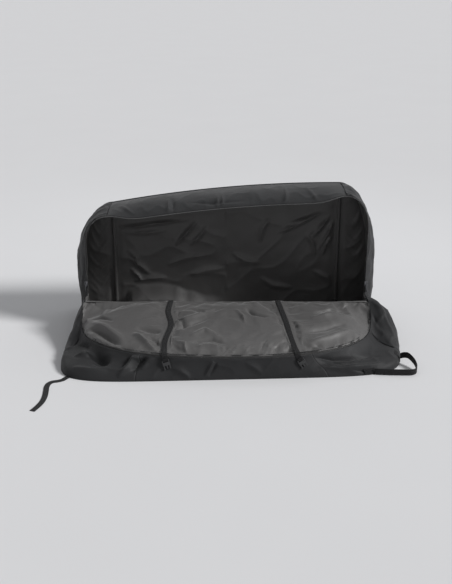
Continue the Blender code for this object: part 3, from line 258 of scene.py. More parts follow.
# Back panel, front wall, strip over the fold, and the cloth under the bellows
BACK_SPLIT = 0.70
PIPING_OUT = 0.4
WALL_RISE, WALL_SHELL_SHARE, WALL_PAD_SHARE, ARCH_RISE = 0.90, 0.982, 0.975, 0.5
STRIP_HALF, STRIP_END_SPACE, STRIP_REACH = 0.0003, 0.001, 0.012
STRIP_START_SHARE, STRIP_BEND_SHARE, STRIP_DROP = 0.72, 0.30, 0.0035
STRIP_PUFF, STRIP_PUFF_SAG = 0.0016, 0.003
UNDER_GAP, UNDER_TUCK, UNDER_MARGIN = 0.004, 0.016, 0.015
SWELL_POWER = 0.7

# The rest of the outward side, y and z, of a cloth that faces one end
END_OUT, BELLOWS_OUT, LID_OUT = (0.0, 0.3), (-0.4, 0.6), (-0.5, 0.5)

# Zip, rod sleeves, patches and buckle straps
ZIP_START_SHARE = 0.004
SLEEVE_ROOM, SLEEVE_SEAM, SLEEVE_SEAM_RISE = 0.0026, 0.0012, 0.0016
SLEEVE_ROUND, SLEEVE_SWELL, SLEEVE_TURN = 0.72, 0.10, math.radians(125)
PATCH_EDGE_SHARE, PATCH_ROW_INSET, PATCH_START = 0.3, 0.004, 0.06
TAIL_OUT, TAIL_UP, TAIL_SHARES = 0.80, 0.35, (0.75, 0.40)
MATE_FLAT, MATE_RISE, MATE_PATCH_SHARE = 0.4, 0.75, 0.3
FOLD_BEND = 0.006
SOCKET_SHARE = 1.2
BAR_LOOP = BUCKLE_BAR / 2 + RUN_CLEARANCE + WEBBING / 2
FLOOR_STRAP_Z = FLOOR_TOP + PATCH + 2 * LAYER_GAP + WEBBING / 2

# Shares across a panel where its rows of stitches run, and their distance from the bellows' seam
TOP_ROWS = (0.020, 0.045, 0.975)
END_FRONT_ROWS, END_BACK_ROWS = (FRONT_SHARE + 0.020, FRONT_SHARE + 0.045), (0.980,)
BAND_ROWS, SLEEVE_ROWS = (0.955, 0.975), (0.04, 0.96)
BELLOWS_ROW_GAP, ROW_INSET = 0.006, 0.01

# Stage
FLOOR_RADIUS, FLOOR_DROP = 45.0, 0.0002
SEEN_COLOUR, SKY_COLOUR, RIM_COLOUR = (0.66, 0.66, 0.67, 1.0), (0.97, 0.98, 1.0, 1.0), (0.94, 0.97, 1.0)
KEY_TURN, KEY_ANGLE = (math.radians(57), 0.0, math.radians(71)), math.radians(16)
RIM_PLACE, RIM_AIM, RIM_SIZE = (0.6, 1.5, 2.4), (0.2, -0.1, 0.5), (3.2, 1.2)


# Folds and puckers of each cloth in millimetres: half width, height and the points of its line, as
# x, y and z, or as x and z on the back panel. A negative height is a valley.

def in_metres(point):
    if len(point) == 2:
        point = (point[0], 0, point[1])
    return Vector([part / 1000 for part in point])


def prepared(folds):
    """The folds in metres, each with the box that holds it."""
    out = []
    for width, height, *points in folds:
        width /= 1000
        points = [in_metres(point) for point in points]
        low = [min(p[i] for p in points) - FOLD_REACH * width for i in range(3)]
        high = [max(p[i] for p in points) + FOLD_REACH * width for i in range(3)]
        out.append((points, width, height / 1000, low, high))
    return out


BELLOWS_SEAM_LINE = (
    (752, -235, 186), (778, -305, 164), (797, -354, 130), (819, -407, 85), (837, -462, 42),
)
LID_CREASES = prepared((
    (14, -28, (-662, -455, 118), (-607, -505, 124), (-544, -578, 119), (-481, -651, 109)),
    (12, 18, (-633, -533, 110), (-545, -630, 103), (-466, -674, 103)),
    (16, 15, (-649, -414, 134), (-572, -494, 135), (-475, -611, 121)),
    (13, 24, (-439, -551, 140), (-380, -624, 126), (-310, -715, 106)),
    (13, -18, (-431, -506, 150), (-363, -539, 148), (-296, -555, 148)),
    (10, -15, (-365, -588, 137), (-308, -649, 125), (-271, -691, 115)),
    (8, -16, (-168, -646, 131), (-121, -640, 133), (-63, -629, 136), (1, -663, 128)),
    (12, 15, (-169, -605, 141), (-100, -563, 151), (-16, -613, 141)),
    (8, 12, (-144, -679, 123), (-74, -669, 126), (-5, -687, 121)),
    (11, -18, (-255, -537, 153), (-173, -509, 161), (-78, -455, 171)),
    (14, 15, (-252, -478, 165), (-163, -449, 171), (-54, -396, 180)),
    (9, -12, (-249, -427, 173), (-210, -475, 166), (-195, -560, 150)),
    (8, 12, (-233, -636, 131), (-191, -656, 128), (-183, -717, 111)),
    (9, -15, (-178, -355, 184), (-103, -395, 180), (-5, -356, 184)),
    (5, -6, (-16, -725, 111), (1, -694, 119), (42, -687, 121)),
    (4, 4.8, (-5, -737, 107), (24, -711, 114), (53, -718, 112)),
    (9, -18, (94, -345, 185), (136, -407, 178), (202, -443, 172)),
    (9, 12, (44, -369, 183), (80, -432, 175), (91, -500, 164)),
    (9, -7.2, (300, -425, 172), (332, -501, 158), (327, -611, 134)),
    (14, 6.6, (333, -446, 168), (360, -530, 150), (357, -645, 123)),
    (9, -15, (425, -393, 172), (515, -351, 174), (614, -360, 159)),
    (16, 12, (409, -440, 165), (511, -397, 166), (634, -400, 144)),
    (16, -15, (376, -558, 143), (475, -516, 144), (578, -457, 143)),
    (18, 15, (381, -642, 122), (493, -574, 128), (625, -475, 127)),
    (5, -6, (7, -720, 112), (42, -686, 122), (88, -673, 125)),
    (5, -6, (156, -718, 111), (172, -656, 128), (195, -623, 136)),
    (5, 6, (179, -722, 109), (195, -670, 124), (217, -636, 132)),
    (5, -6, (208, -721, 109), (225, -676, 121), (251, -662, 124)),
    (5, 6, (87, -719, 112), (105, -685, 122), (146, -666, 126)),
    (5, -6, (376, -704, 105), (403, -661, 115), (452, -633, 117)),
    (9, -15, (-659, -380, 141), (-608, -394, 151), (-540, -446, 152)),
))
FRONT_CREASES = prepared((
    (14, 28, (-497, -775, 18), (-453, -739, 52), (-426, -710, 82), (-391, -707, 103), (-350, -712, 104)),
    (11, -22, (-429, -761, 36), (-403, -724, 70), (-356, -720, 99)),
    (8, -16, (-482, -742, 47), (-455, -709, 73), (-432, -699, 96)),
    (9, 9.2, (-389, -752, 45), (-361, -729, 78), (-326, -728, 97)),
    (7, 11.5, (-56, -753, 90), (-73, -757, 60), (-99, -764, 19)),
    (7, -9.2, (-41, -754, 86), (-57, -758, 54), (-80, -763, 17)),
    (14, 6.9, (-257, -753, 58), (-211, -758, 48), (-165, -767, 14)),
    (14, 6.9, (87, -752, 83), (133, -752, 57), (168, -752, 26)),
    (10, -20, (407, -708, 86), (507, -689, 66), (605, -650, 59), (731, -598, 48)),
    (7, -14, (458, -705, 67), (541, -698, 51), (626, -673, 49)),
    (10, 13.8, (422, -724, 51), (528, -717, 39), (671, -688, 38), (746, -654, 37)),
    (6, -7.2, (586, -716, 28), (646, -710, 17), (700, -698, 9)),
    (19, -38, (-655, -615, 58), (-615, -645, 59), (-569, -682, 57), (-538, -705, 55)),
    (9, 18, (-722, -607, 48), (-680, -608, 52), (-649, -617, 59)),
    (7, 13.8, (-697, -568, 56), (-636, -618, 62), (-602, -653, 60)),
    (12, -16.1, (-719, -502, 59), (-677, -540, 76), (-640, -583, 80)),
    (14, 11.5, (-712, -711, 38), (-638, -741, 40), (-544, -753, 39)),
    (8, -16, (-623, -676, 50), (-584, -703, 50), (-543, -714, 52)),
))
BELLOWS_CREASES = prepared((
    (7, 6.875, *BELLOWS_SEAM_LINE),
    (13, 8.75, (721, -150, 190), (762, -279, 180), (777, -357, 131)),
    (11, -6.25, (747, -211, 186), (799, -293, 159), (810, -398, 94)),
    (9, -7.5, (721, -305, 164), (751, -377, 112), (801, -463, 56)),
    (9, 7.5, (735, -353, 129), (773, -413, 87), (821, -506, 36)),
    (12, -7.5, (-733, -400, 95), (-744, -460, 67), (-749, -519, 46)),
    (10, 6.25, (-716, -382, 115), (-729, -413, 88), (-729, -467, 58)),
))
BACK_CREASES = prepared((
    (12, 15.2, (-505, 162), (-416, 176), (-320, 179)),
    (9, 13.3, (-530, 334), (-487, 299), (-479, 249)),
    (10, 15.2, (-524, 292), (-455, 241), (-415, 198)),
    (8, 15.2, (-521, 234), (-484, 198), (-455, 162)),
    (8, 13.3, (-582, 464), (-488, 472), (-353, 489), (-192, 508)),
    (8, 9.5, (-543, 433), (-435, 433), (-314, 447)),
    (9, 18, (-275, 363), (-220, 426), (-152, 503)),
    (9, 15.2, (-194, 363), (-140, 416), (-102, 472)),
    (14, 13.3, (-319, 249), (-223, 292), (-114, 306)),
    (14, 11.4, (-197, 191), (-115, 220), (-5, 231)),
    (9, 18, (589, 516), (552, 440), (495, 334)),
    (8, 16, (555, 530), (510, 468), (466, 405)),
    (9, 17.1, (475, 523), (383, 482), (277, 433)),
    (8, 13.3, (521, 551), (422, 510), (329, 482)),
    (8, 15.2, (598, 461), (541, 377), (523, 306)),
    (9, 13.3, (424, 433), (467, 377), (483, 306)),
    (11, 13.3, (235, 516), (196, 461), (183, 377)),
    (14, 13.3, (186, 176), (255, 133), (365, 118)),
    (12, 11.4, (472, 220), (555, 176), (600, 103)),
    (14, 11.4, (35, 320), (103, 277), (185, 263)),
))
TOP_CREASES = prepared((
    (9, 8.5, (-297, -17, 660), (-290, -92, 644), (-295, -138, 620)),
    (8, -6.8, (-276, -17, 663), (-267, -97, 645), (-270, -142, 621)),
    (8, 8.5, (-46, -16, 689), (-43, -103, 667), (-50, -145, 642)),
    (7, 8.5, (-20, -16, 691), (-18, -100, 671), (-20, -145, 645)),
    (9, 8.5, (301, -3, 714), (301, -100, 692), (288, -145, 666)),
    (10, 6.8, (-544, -15, 623), (-507, -80, 619), (-462, -124, 606)),
    (9, 6.8, (404, 5, 718), (433, -83, 703), (457, -146, 676)),
    (8, -5.1, (-181, -89, 658), (-55, -115, 660), (95, -111, 675)),
))

# The ledge of slipped lining at the foot of the back panel: x and height of its upper line
SLUMP_LINE = (
    (-0.550, 0.118), (-0.450, 0.146), (-0.360, 0.152), (-0.280, 0.140), (-0.200, 0.110), (-0.100, 0.082),
    (0.050, 0.060),
)
SLUMP_DEPTH = 0.062
SLUMP_START, SLUMP_END, SLUMP_FALL = 0.04, 0.25, 0.085

# Unevenness of each cloth: height, size and seed of soft waves, and of crease lines where a sharpness
# follows
END_NOISE = ((0.007, 0.11, 3.0), (0.006, 0.09, 7.0, 5.0))
END_SMALL_NOISE = ((0.0025, 0.045, 2.0),)
TOP_NOISE = ((0.0035, 0.12, 5.0), (0.0030, 0.07, 2.0, 5.0))
BACK_LINING_NOISE = ((0.005, 0.11, 4.0, 5.0),)
BACK_SHELL_NOISE = ((0.0030, 0.20, 8.0), (0.0016, 0.07, 3.0))
BACK_SHELL_CREASES = ((0.0045, 0.15, 6.0, 6.0),)
LID_LINING_NOISE = ((0.010, 0.13, 2.0), (0.0040, 0.09, 5.0, 5.0))
LID_SMALL_NOISE = ((0.0016, 0.035, 3.0),)
GATHER_NOISE = ((0.0030, 0.022, 9.0),)
LID_SHELL_NOISE = ((0.004, 0.18, 9.0), (0.003, 0.12, 3.0, 5.0))
SKIRT_NOISE = ((0.0045, 0.09, 6.0), (0.0035, 0.08, 1.0, 5.0))
BELLOWS_NOISE = ((0.005, 0.09, 4.0), (0.004, 0.07, 3.0, 5.0))
BASE_NOISE = ((0.0022, 0.10, 2.0, 4.0),)
SAG_NOISE = ((0.0035, 0.13, 4.0), (0.00175, 0.045, 8.0))
END_SINK, TOP_SINK, LID_SINK, SKIRT_SINK = 0.002, 0.001, 0.002, 0.001
BACK_RIPPLE, PUFF, PUFF_TOP, PUFF_REACH = 0.0018, 0.006, 0.14, 0.12
RIPPLE_WAVE, PUFF_WAVE = (0.06, 1.0), (0.10, 6.0)
RIGHT_SLANT, LEFT_SLANT, SLANT_STRETCH, SHELL_SLANT, SHELL_STRETCH = 0.7, -0.2, 0.55, 1.2, 0.45
GATHER_START, GATHER_REACH = 0.80, 0.12

# How far the unevenness fades from the seams, along u and along v, and at which of them: start u, end u,
# start v and end v
END_FADE = (0.05, 0.10, (1, 0, 1, 1))
TOP_FADE, TOP_FREE = (0.08, 0.12, (0, 0, 0, 1)), 0.25
BACK_LINING_FADE, BACK_SHELL_FADE = (0.04, 0.05), (0.05, 0.07)
LID_FADE, GATHER_FADE, LID_SHELL_FADE = (0.03, 0.10), (0.12, 0.035), (0.05, 0.12)
SKIRT_FADE = (0.03, 0.13, (0, 0, 1, 1))
BELLOWS_FADE = (0.06, 0.12, (1, 0, 1, 1))
BASE_FADE = (0.04, 0.10)

# Columns and rows of each cloth's mesh: a count, or a length in metres that the cloth step divides
GRIDS = {
    "back_panel_lining": (1.5, 0.72), "back_panel_foam": (60, 30), "back_panel_cloth": (1.5, 0.72),
    "right_end_cloth": (112, 64), "right_end_satin": (112, 64), "left_end_cloth": (112, 64),
    "left_end_satin": (112, 64), "top_gusset_cloth": (1.25, 48), "top_gusset_satin": (1.25, 48),
    "base_cloth": (120, 40), "base_satin": (1.5, 0.4), "front_wall_cloth": (160, 24), "front_wall_pad": (60, 10),
    "front_wall_satin": (200, 44), "fold_satin": (240, 12), "right_bellows_cloth": (64, 48),
    "left_bellows_cloth": (64, 48), "right_bellows_underside": (60, 24), "left_bellows_underside": (60, 24),
    "lid_panel_cloth": (256, 56), "lid_pad": (96, 24), "lid_satin": (288, 84), "lid_right_band": (100, 40),
    "lid_front_band": (220, 40), "lid_left_band": (100, 40), "tub_zip_webbing": (400, 4),
    "lid_zip_webbing": (300, 4), "right_sleeve_cloth": (40, 90), "left_sleeve_cloth": (40, 90),
    "grab_handle_upper_square": (16, 12), "grab_handle_lower_square": (16, 12),
}

# A cloth layer: where it starts and ends along the outward side, and its material
OUTER = (0.0, SHELL, "outer_cloth")
INNER = (-LAYER_GAP - LINING, -LAYER_GAP, "lining_cloth")
FACING = (0.0, LINING, "lining_cloth")
PAD = (0.0, FOAM, "foam")


# Settings that a user would change

def shade(name, description, default):
    return bpy.props.FloatVectorProperty(
        name=name, description=description, default=default, size=3, min=0.0, max=1.0, subtype="COLOR"
    )


def number(name, description, default, low=0.0, high=1000.0, **options):
    return bpy.props.FloatProperty(name=name, description=description, default=default, min=low, max=high, **options)


class BagColours(bpy.types.PropertyGroup):
    """Colours of the bag's materials."""

    outer_cloth: shade("Outer cloth", "Woven polyester of the outside", (0.016, 0.0163, 0.0172))
    lining_cloth: shade("Lining", "Satin nylon of the inside", (0.068, 0.066, 0.065))
    webbing: shade("Webbing", "Straps, handle and patches", (0.009, 0.009, 0.0095))
    zip_tape: shade("Zip tape", "Woven tape beside the teeth", (0.026, 0.0255, 0.0255))
    zip_coil: shade("Zip teeth", "Nylon coil", (0.020, 0.020, 0.021))
    zip_metal: shade("Zip metal", "Sliders and pull tabs", (0.130, 0.130, 0.138))
    buckle_plastic: shade("Buckles", "Moulded plastic", (0.018, 0.018, 0.019))
    rod_aluminium: shade("Rods", "Bare aluminium", (0.420, 0.425, 0.430))
    rubber: shade("Rod caps", "Rubber", (0.020, 0.020, 0.020))
    foam: shade("Foam", "Closed cell foam sheet", (0.055, 0.055, 0.058))
    board: shade("Base board", "Plastic board", (0.040, 0.040, 0.042))
    thread: shade("Thread", "Stitches", (0.030, 0.030, 0.031))
    pale_floor: shade("Floor", "Pale studio floor", (0.700, 0.700, 0.710))


class BagSizes(bpy.types.PropertyGroup):
    """Sizes of the cloth's detail."""

    fold_depth: number("Fold depth", "Share of the full height that the folds have", 1.0, 0.0, 1.5)
    cloth_step: number("Cloth step", "Between the points of a cloth panel", 0.0065, 0.004, 0.030, unit="LENGTH")
    weave: number("Weave", "Between two threads of the outer cloth", 0.0011, 0.0003, 0.004, unit="LENGTH")
    stitch: number("Stitch", "Length of one stitch", 0.0034, 0.001, 0.01, unit="LENGTH")
    piping: number("Piping", "Radius of the cord in the seams", 0.0024, 0.001, 0.006, unit="LENGTH")


class BagStage(bpy.types.PropertyGroup):
    """Camera and lamps."""

    distance: number("Distance", "Camera in front of the bag", 4.496, unit="LENGTH")
    height: number("Height", "Camera height", 1.827, unit="LENGTH")
    tilt: number("Tilt", "How far the camera looks down", math.radians(20.5), subtype="ANGLE")
    lens: number("Lens", "Focal length in millimetres", 55.48)
    key: number("Key lamp", "Strength of the soft sun", 3.3)
    rim: number("Rim lamp", "Power behind the bag", 9.0)
    sky: number("Sky", "Strength of the even light", 0.34)


def colours():
    return bpy.context.scene.bag_colours


def sizes():
    return bpy.context.scene.bag_sizes


# Materials

class Recipe:
    """A material under construction, with short calls for its nodes."""

    def __init__(self, name, roughness, metallic, sheen, specular):
        self.material = bpy.data.materials.new(name)
        self.material.use_nodes = True
        self.tree = self.material.node_tree
        self.shader = self.tree.nodes["Principled BSDF"]
        self.colour = getattr(colours(), name)
        self.normal = None
        values = {"Roughness": roughness, "Metallic": metallic, "Specular IOR Level": specular}
        if sheen:
            values |= {"Sheen Weight": sheen, "Sheen Roughness": SHEEN_ROUGHNESS}
        for socket, value in values.items():
            self.shader.inputs[socket].default_value = value

    def add(self, kind, links=(), **values):
        node = self.tree.nodes.new("ShaderNode" + kind)
        for key, value in values.items():
            setattr(node, key, value)
        for socket, value in links:
            if hasattr(value, "is_output"):
                self.tree.links.new(value, node.inputs[socket])
            else:
                node.inputs[socket].default_value = value
        return node

    def place(self, source="Object"):
        return self.add("TexCoord").outputs[source]

    def on_map(self, axis):
        """Metres along the UV map's first axis, 0, or its second, 1."""
        return self.add("SeparateXYZ", ((0, self.place("UV")),)).outputs[axis]

    def maths(self, operation, first, second=0.0):
        return self.add("Math", ((0, first), (1, second)), operation=operation).outputs[0]

    def ridges(self, value, pitch):
        return self.maths("SINE", self.maths("MULTIPLY", value, math.tau / pitch))

    def speckle(self, scale, detail=3.0, kind="FBM", stretch=(1.0, 1.0, 1.0), source="Object"):
        spot = self.add("Mapping", (("Vector", self.place(source)), ("Scale", stretch))).outputs[0]
        links = (("Vector", spot), ("Scale", scale), ("Detail", detail))
        return self.add("TexNoise", links, noise_type=kind, normalize=True).outputs[0]

    def bump(self, height, strength, distance):
        links = [("Strength", strength), ("Distance", distance), ("Height", height)]
        if self.normal:
            links.append(("Normal", self.normal))
        self.normal = self.add("Bump", links).outputs[0]

    def weave(self, pitch_u, pitch_v, strength, distance):
        """Bump of a plain weave with these distances between its threads."""
        warp = self.ridges(self.on_map(0), 2 * pitch_u)
        weft = self.ridges(self.on_map(1), 2 * pitch_v)
        raised = self.maths("GREATER_THAN", self.maths("MULTIPLY", warp, weft), 0.0)
        over, under = self.maths("ABSOLUTE", warp), self.maths("ABSOLUTE", weft)
        mixed = self.add("Mix", (("Factor", raised), ("A", over), ("B", under)))
        self.bump(mixed.outputs[0], strength, distance)

    def tint(self, amount, low, high):
        """Colour between two shares of the chosen one, as the amount goes: random tone for most materials, painted
        shade and light on the webbing's ribs and the zip's teeth.
        """
        mixed = self.add("Mix", data_type="RGBA")
        self.tree.links.new(amount, mixed.inputs[0])
        for socket, share in ((6, low), (7, high)):
            mixed.inputs[socket].default_value = (*(part * share for part in self.colour), 1.0)
        self.tree.links.new(mixed.outputs[2], self.shader.inputs["Base Color"])

    def vary_roughness(self, amount, low, high):
        spread = self.add("MapRange", ((0, amount), (3, low), (4, high)))
        self.tree.links.new(spread.outputs[0], self.shader.inputs["Roughness"])

    def done(self):
        if self.normal:
            self.tree.links.new(self.normal, self.shader.inputs["Normal"])
        return self.material


ROD_GRAIN = (500.0, 3.0, "FBM", (1.0, 1.0, 0.04))
METAL_GRAIN = (700.0, 3.0, "FBM", (1.0, 1.0, 0.15))
BOARD_GRAIN = (240.0, 3.0, "FBM", (0.1, 1.0, 1.0))
FOLDED_GRAIN = (9.0, 3.0, "RIDGED_MULTIFRACTAL")
# Each material: roughness, metallic, sheen and specular; the noise that tints it, with two shares of its
# colour; the noise in its roughness, with both ends; the noises that raise it, with strength and depth
LOOKS = {
    "outer_cloth": ((0.62, 0.0, 0.06, 0.22), ((5.0, 5.0), 0.72, 1.34), ((14.0,), 0.50, 0.74),
                    (((26.0, 4.0), 0.35, 0.0040),)),
    "lining_cloth": ((0.50, 0.0, 0.20, 0.42), ((4.0, 4.0), 0.80, 1.22), ((18.0,), 0.42, 0.60),
                     ((FOLDED_GRAIN, 0.35, 0.0060), ((60.0,), 0.22, 0.0020))),
    "webbing": ((0.70, 0.0, 0.06, 0.16), None, None, ()),
    "zip_tape": ((0.75, 0.0, 0.08, 0.2), ((30.0,), 0.75, 1.3), None, ()),
    "zip_coil": ((0.36, 0.0, 0.0, 0.5), None, None, ()),
    "zip_metal": ((0.30, 1.0, 0.0, 0.5), ((90.0,), 0.7, 1.35), ((300.0, 4.0), 0.22, 0.48),
                  ((METAL_GRAIN, 0.12, 0.0002),)),
    "buckle_plastic": ((0.36, 0.0, 0.0, 0.5), ((50.0,), 0.85, 1.2), ((120.0,), 0.30, 0.48),
                       (((1400.0, 2.0), 0.25, 0.0001),)),
    "rod_aluminium": ((0.32, 1.0, 0.0, 0.5), ((20.0,), 0.88, 1.08), (ROD_GRAIN, 0.24, 0.44),
                      ((ROD_GRAIN, 0.15, 0.0002),)),
    "rubber": ((0.78, 0.0, 0.0, 0.3), ((80.0,), 0.8, 1.4), None, (((900.0,), 0.3, 0.0002),)),
    "foam": ((0.90, 0.0, 0.0, 0.25), ((40.0,), 0.8, 1.2), None, ()),
    "board": ((0.48, 0.0, 0.0, 0.45), ((12.0,), 0.8, 1.25), None, ((BOARD_GRAIN, 0.2, 0.0003),)),
    "thread": ((0.65, 0.0, 0.0, 0.35), ((200.0,), 0.8, 1.3), None, (((3000.0, 1.0), 0.4, 0.0001),)),
    "pale_floor": ((0.85, 0.0, 0.0, 0.2), ((1.5,), 0.985, 1.015), None, (((60.0,), 0.05, 0.0005),)),
}
FINISHES = {}


def outer_detail(made):
    made.weave(sizes().weave, sizes().weave, 0.30, 0.0003)


def lining_detail(made):
    pitch = sizes().weave * LINING_WEAVE_SHARE
    made.weave(pitch, pitch, 0.15, 0.0002)


def tape_detail(made):
    made.weave(*TAPE_PITCHES, 0.45, 0.0003)


def webbing_ribs_and_painted_shade(made):
    skew = made.maths("PINGPONG", made.on_map(1), RIB_SKEW)
    rib = made.ridges(made.maths("ADD", made.on_map(0), skew), RIB_PITCH)
    # The colour follows the ribs' height: painted light on the crests and painted shade in the grooves.
    made.tint(made.maths("ADD", made.maths("MULTIPLY", rib, 0.5), 0.5), 0.70, 1.45)
    made.bump(rib, 0.65, 0.0005)
    made.bump(made.speckle(900.0, 2.0, source="UV"), 0.25, 0.0002)


def coil_teeth_and_painted_shade(made):
    tooth = made.ridges(made.on_map(0), TOOTH_PITCH)
    # The colour follows the teeth: painted shade in the gaps between them and a painted highlight on their crests.
    made.tint(made.maths("MAXIMUM", tooth, 0.0), 0.35, 2.2)
    made.bump(tooth, 0.9, 0.0008)


def foam_detail(made):
    cells = made.add("TexVoronoi", (("Vector", made.place()), ("Scale", 700.0))).outputs[0]
    made.bump(cells, 0.6, 0.0004)


DETAILS = {
    "outer_cloth": outer_detail, "lining_cloth": lining_detail, "zip_tape": tape_detail,
    "webbing": webbing_ribs_and_painted_shade, "zip_coil": coil_teeth_and_painted_shade, "foam": foam_detail,
}


def finish(name):
    """The material of this name, made when it is first wanted."""
    if name not in FINISHES:
        shader, tint, roughness, bumps = LOOKS[name]
        made = Recipe(name, *shader)
        if tint:
            made.tint(made.speckle(*tint[0]), *tint[1:])
        if roughness:
            made.vary_roughness(made.speckle(*roughness[0]), *roughness[1:])
        for grain, strength, distance in bumps:
            made.bump(made.speckle(*grain), strength, distance)
        if name in DETAILS:
            DETAILS[name](made)
        FINISHES[name] = made.done()
    return FINISHES[name]


# Helpers for pieces

def linked(name, data):
    thing = bpy.data.objects.new(name, data)
    bpy.context.scene.collection.objects.link(thing)
    return thing


def add_piece(name, bm, material, body, node=None, sharp=40.0):
    """Turns a bmesh into a piece of the bag that rides on a body and stands for a CAD node."""
    mesh = bpy.data.meshes.new(name)
    bm.to_mesh(mesh)
    bm.free()
    mesh.shade_smooth()
    mesh.set_sharp_from_angle(angle=math.radians(sharp))
    piece = linked(name, mesh)
    mesh.materials.append(finish(material))
    if body:
        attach(piece, body)
    if node:
        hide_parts(node)
    return piece


def thicken(piece, thickness, offset):
    wall = piece.modifiers.new("thickness", "SOLIDIFY")
    wall.thickness = thickness
    wall.offset = offset


def round_edges(bm, edges, reach, clamp=False):
    bmesh.ops.bevel(
        bm, geom=edges, offset=reach, offset_type="OFFSET", affect="EDGES", segments=2, profile=0.5, material=-1,
        clamp_overlap=clamp,
    )


def new_grid(columns, rows):
    """A flat grid from -0.5 to 0.5 with a UV layer."""
    bm = bmesh.new()
    bm.loops.layers.uv.new("UVMap")
    bmesh.ops.create_grid(bm, x_segments=columns, y_segments=rows, size=0.5)
    return bm


def lay_out(bm, places):
    """Sets the UV map to the place in metres that each point has on the flat sheet."""
    bm.verts.index_update()
    layer = bm.loops.layers.uv.verify()
    for face in bm.faces:
        for loop in face.loops:
            loop[layer].uv = places[loop.vert.index]


def run_lengths(points):
    """Length of the route up to each of its points."""
    lengths = [0.0]
    for a, b in zip(points, points[1:]):
        lengths.append(lengths[-1] + (b - a).length)
    return lengths


def along_route(points, i):
    """Direction of a route at one of its points."""
    return (points[min(i + 1, len(points) - 1)] - points[max(i - 1, 0)]).normalized()


def smooth_step(value):
    value = min(1.0, max(0.0, value))
    return value * value * (3 - 2 * value)


def wave(place, size, seed):
    """Soft waves of about this size, from -1 to 1."""
    return noise.noise(place / size + Vector((seed * 3.1, seed * 1.7, seed)))


def crumple(place, size, seed, sharp):
    """Crease lines about this far apart, from 0 to 1."""
    return (1 - abs(noise.noise(place / size + Vector((seed, seed * 2.3, seed * 0.7))))) ** sharp


def uneven(place, rows, shift=0.0):
    """Height of a cloth's unevenness at a place; the shift changes the seeds."""
    total = 0.0
    for height, size, seed, *sharp in rows:
        total += height * (crumple if sharp else wave)(place, size, seed + shift, *sharp)
    return total


def fold_height(place, folds):
    """Sum of the folds at a place: each dies out at both ends and to both sides."""
    total = 0.0
    for points, width, height, low, high in folds:
        if not all(low[i] < place[i] < high[i] for i in range(3)):
            continue
        best = None
        for i, (a, b) in enumerate(zip(points, points[1:])):
            run = b - a
            t = min(1.0, max(0.0, (place - a).dot(run) / run.length_squared))
            gap = (place - a - run * t).length
            if best is None or gap < best[0]:
                best = (gap, (i + t) / (len(points) - 1))
        gap, share = best
        taper = math.sin(math.pi * share) ** FOLD_TAPER
        spread = width * (FOLD_END_WIDTH + FOLD_WIDENING * taper)
        if gap < FOLD_REACH * width:
            total += height * taper * math.exp(-((gap / spread) ** FOLD_POWER))
    return total


def cut_size(point, columns=28, rows=14):
    """Width, length and area of a panel as it is cut, measured over its surface."""
    places = [[point(i / columns, j / rows) for i in range(columns + 1)] for j in range(rows + 1)]
    width = max(run_lengths(row)[-1] for row in places)
    length = max(run_lengths(line)[-1] for line in zip(*places))
    area = 0.0
    for low, high in zip(places, places[1:]):
        for i in range(columns):
            area += (high[i + 1] - low[i]).cross(high[i] - low[i + 1]).length / 2
    return width, length, min(area, width * length)


SETTLE_CLOTH = {
    "quality": 5, "mass": 0.12, "tension_stiffness": 12, "compression_stiffness": 12, "shear_stiffness": 6,
    "bending_stiffness": 0.6, "air_damping": 4, "vertex_group_mass": "held",
}


def settle(bm, pinned, slack, weight, cap, behind=None):
    """Simulates a cloth that is a little too large for its place, and moves each point by at most the cap."""
    scene = bpy.context.scene
    mesh = bpy.data.meshes.new("settling")
    bm.to_mesh(mesh)
    mesh.uv_layers.remove(mesh.uv_layers[0])
    thing = linked("settling", mesh)
    thing.vertex_groups.new(name="held").add(pinned, 1.0, "REPLACE")
    sim = thing.modifiers.new("cloth", "CLOTH")
    for key, value in SETTLE_CLOTH.items():
        setattr(sim.settings, key, value)
    sim.settings.shrink_min = -slack
    sim.settings.effector_weights.gravity = weight
    sim.collision_settings.use_collision = False
    sim.point_cache.frame_start = 1
    sim.point_cache.frame_end = SETTLE_FRAMES
    for step in range(1, SETTLE_FRAMES + 1):
        scene.frame_set(step)
    result = thing.evaluated_get(bpy.context.evaluated_depsgraph_get())
    places = [vert.co.copy() for vert in result.data.vertices]
    scene.frame_set(1)
    bpy.data.objects.remove(thing)
    bpy.data.meshes.remove(mesh)
    for vert, place in zip(bm.verts, places):
        move = place - vert.co
        reach = move.length
        if reach > NO_MOVE:
            vert.co += move * (cap * math.tanh(reach / cap) / reach)
        if behind is not None:
            vert.co.y = min(vert.co.y, behind)


def steps_for(size):
    """A count as it is, or a length divided by the cloth step."""
    return size if isinstance(size, int) else max(FEWEST_STEPS, round(size / sizes().cloth_step))


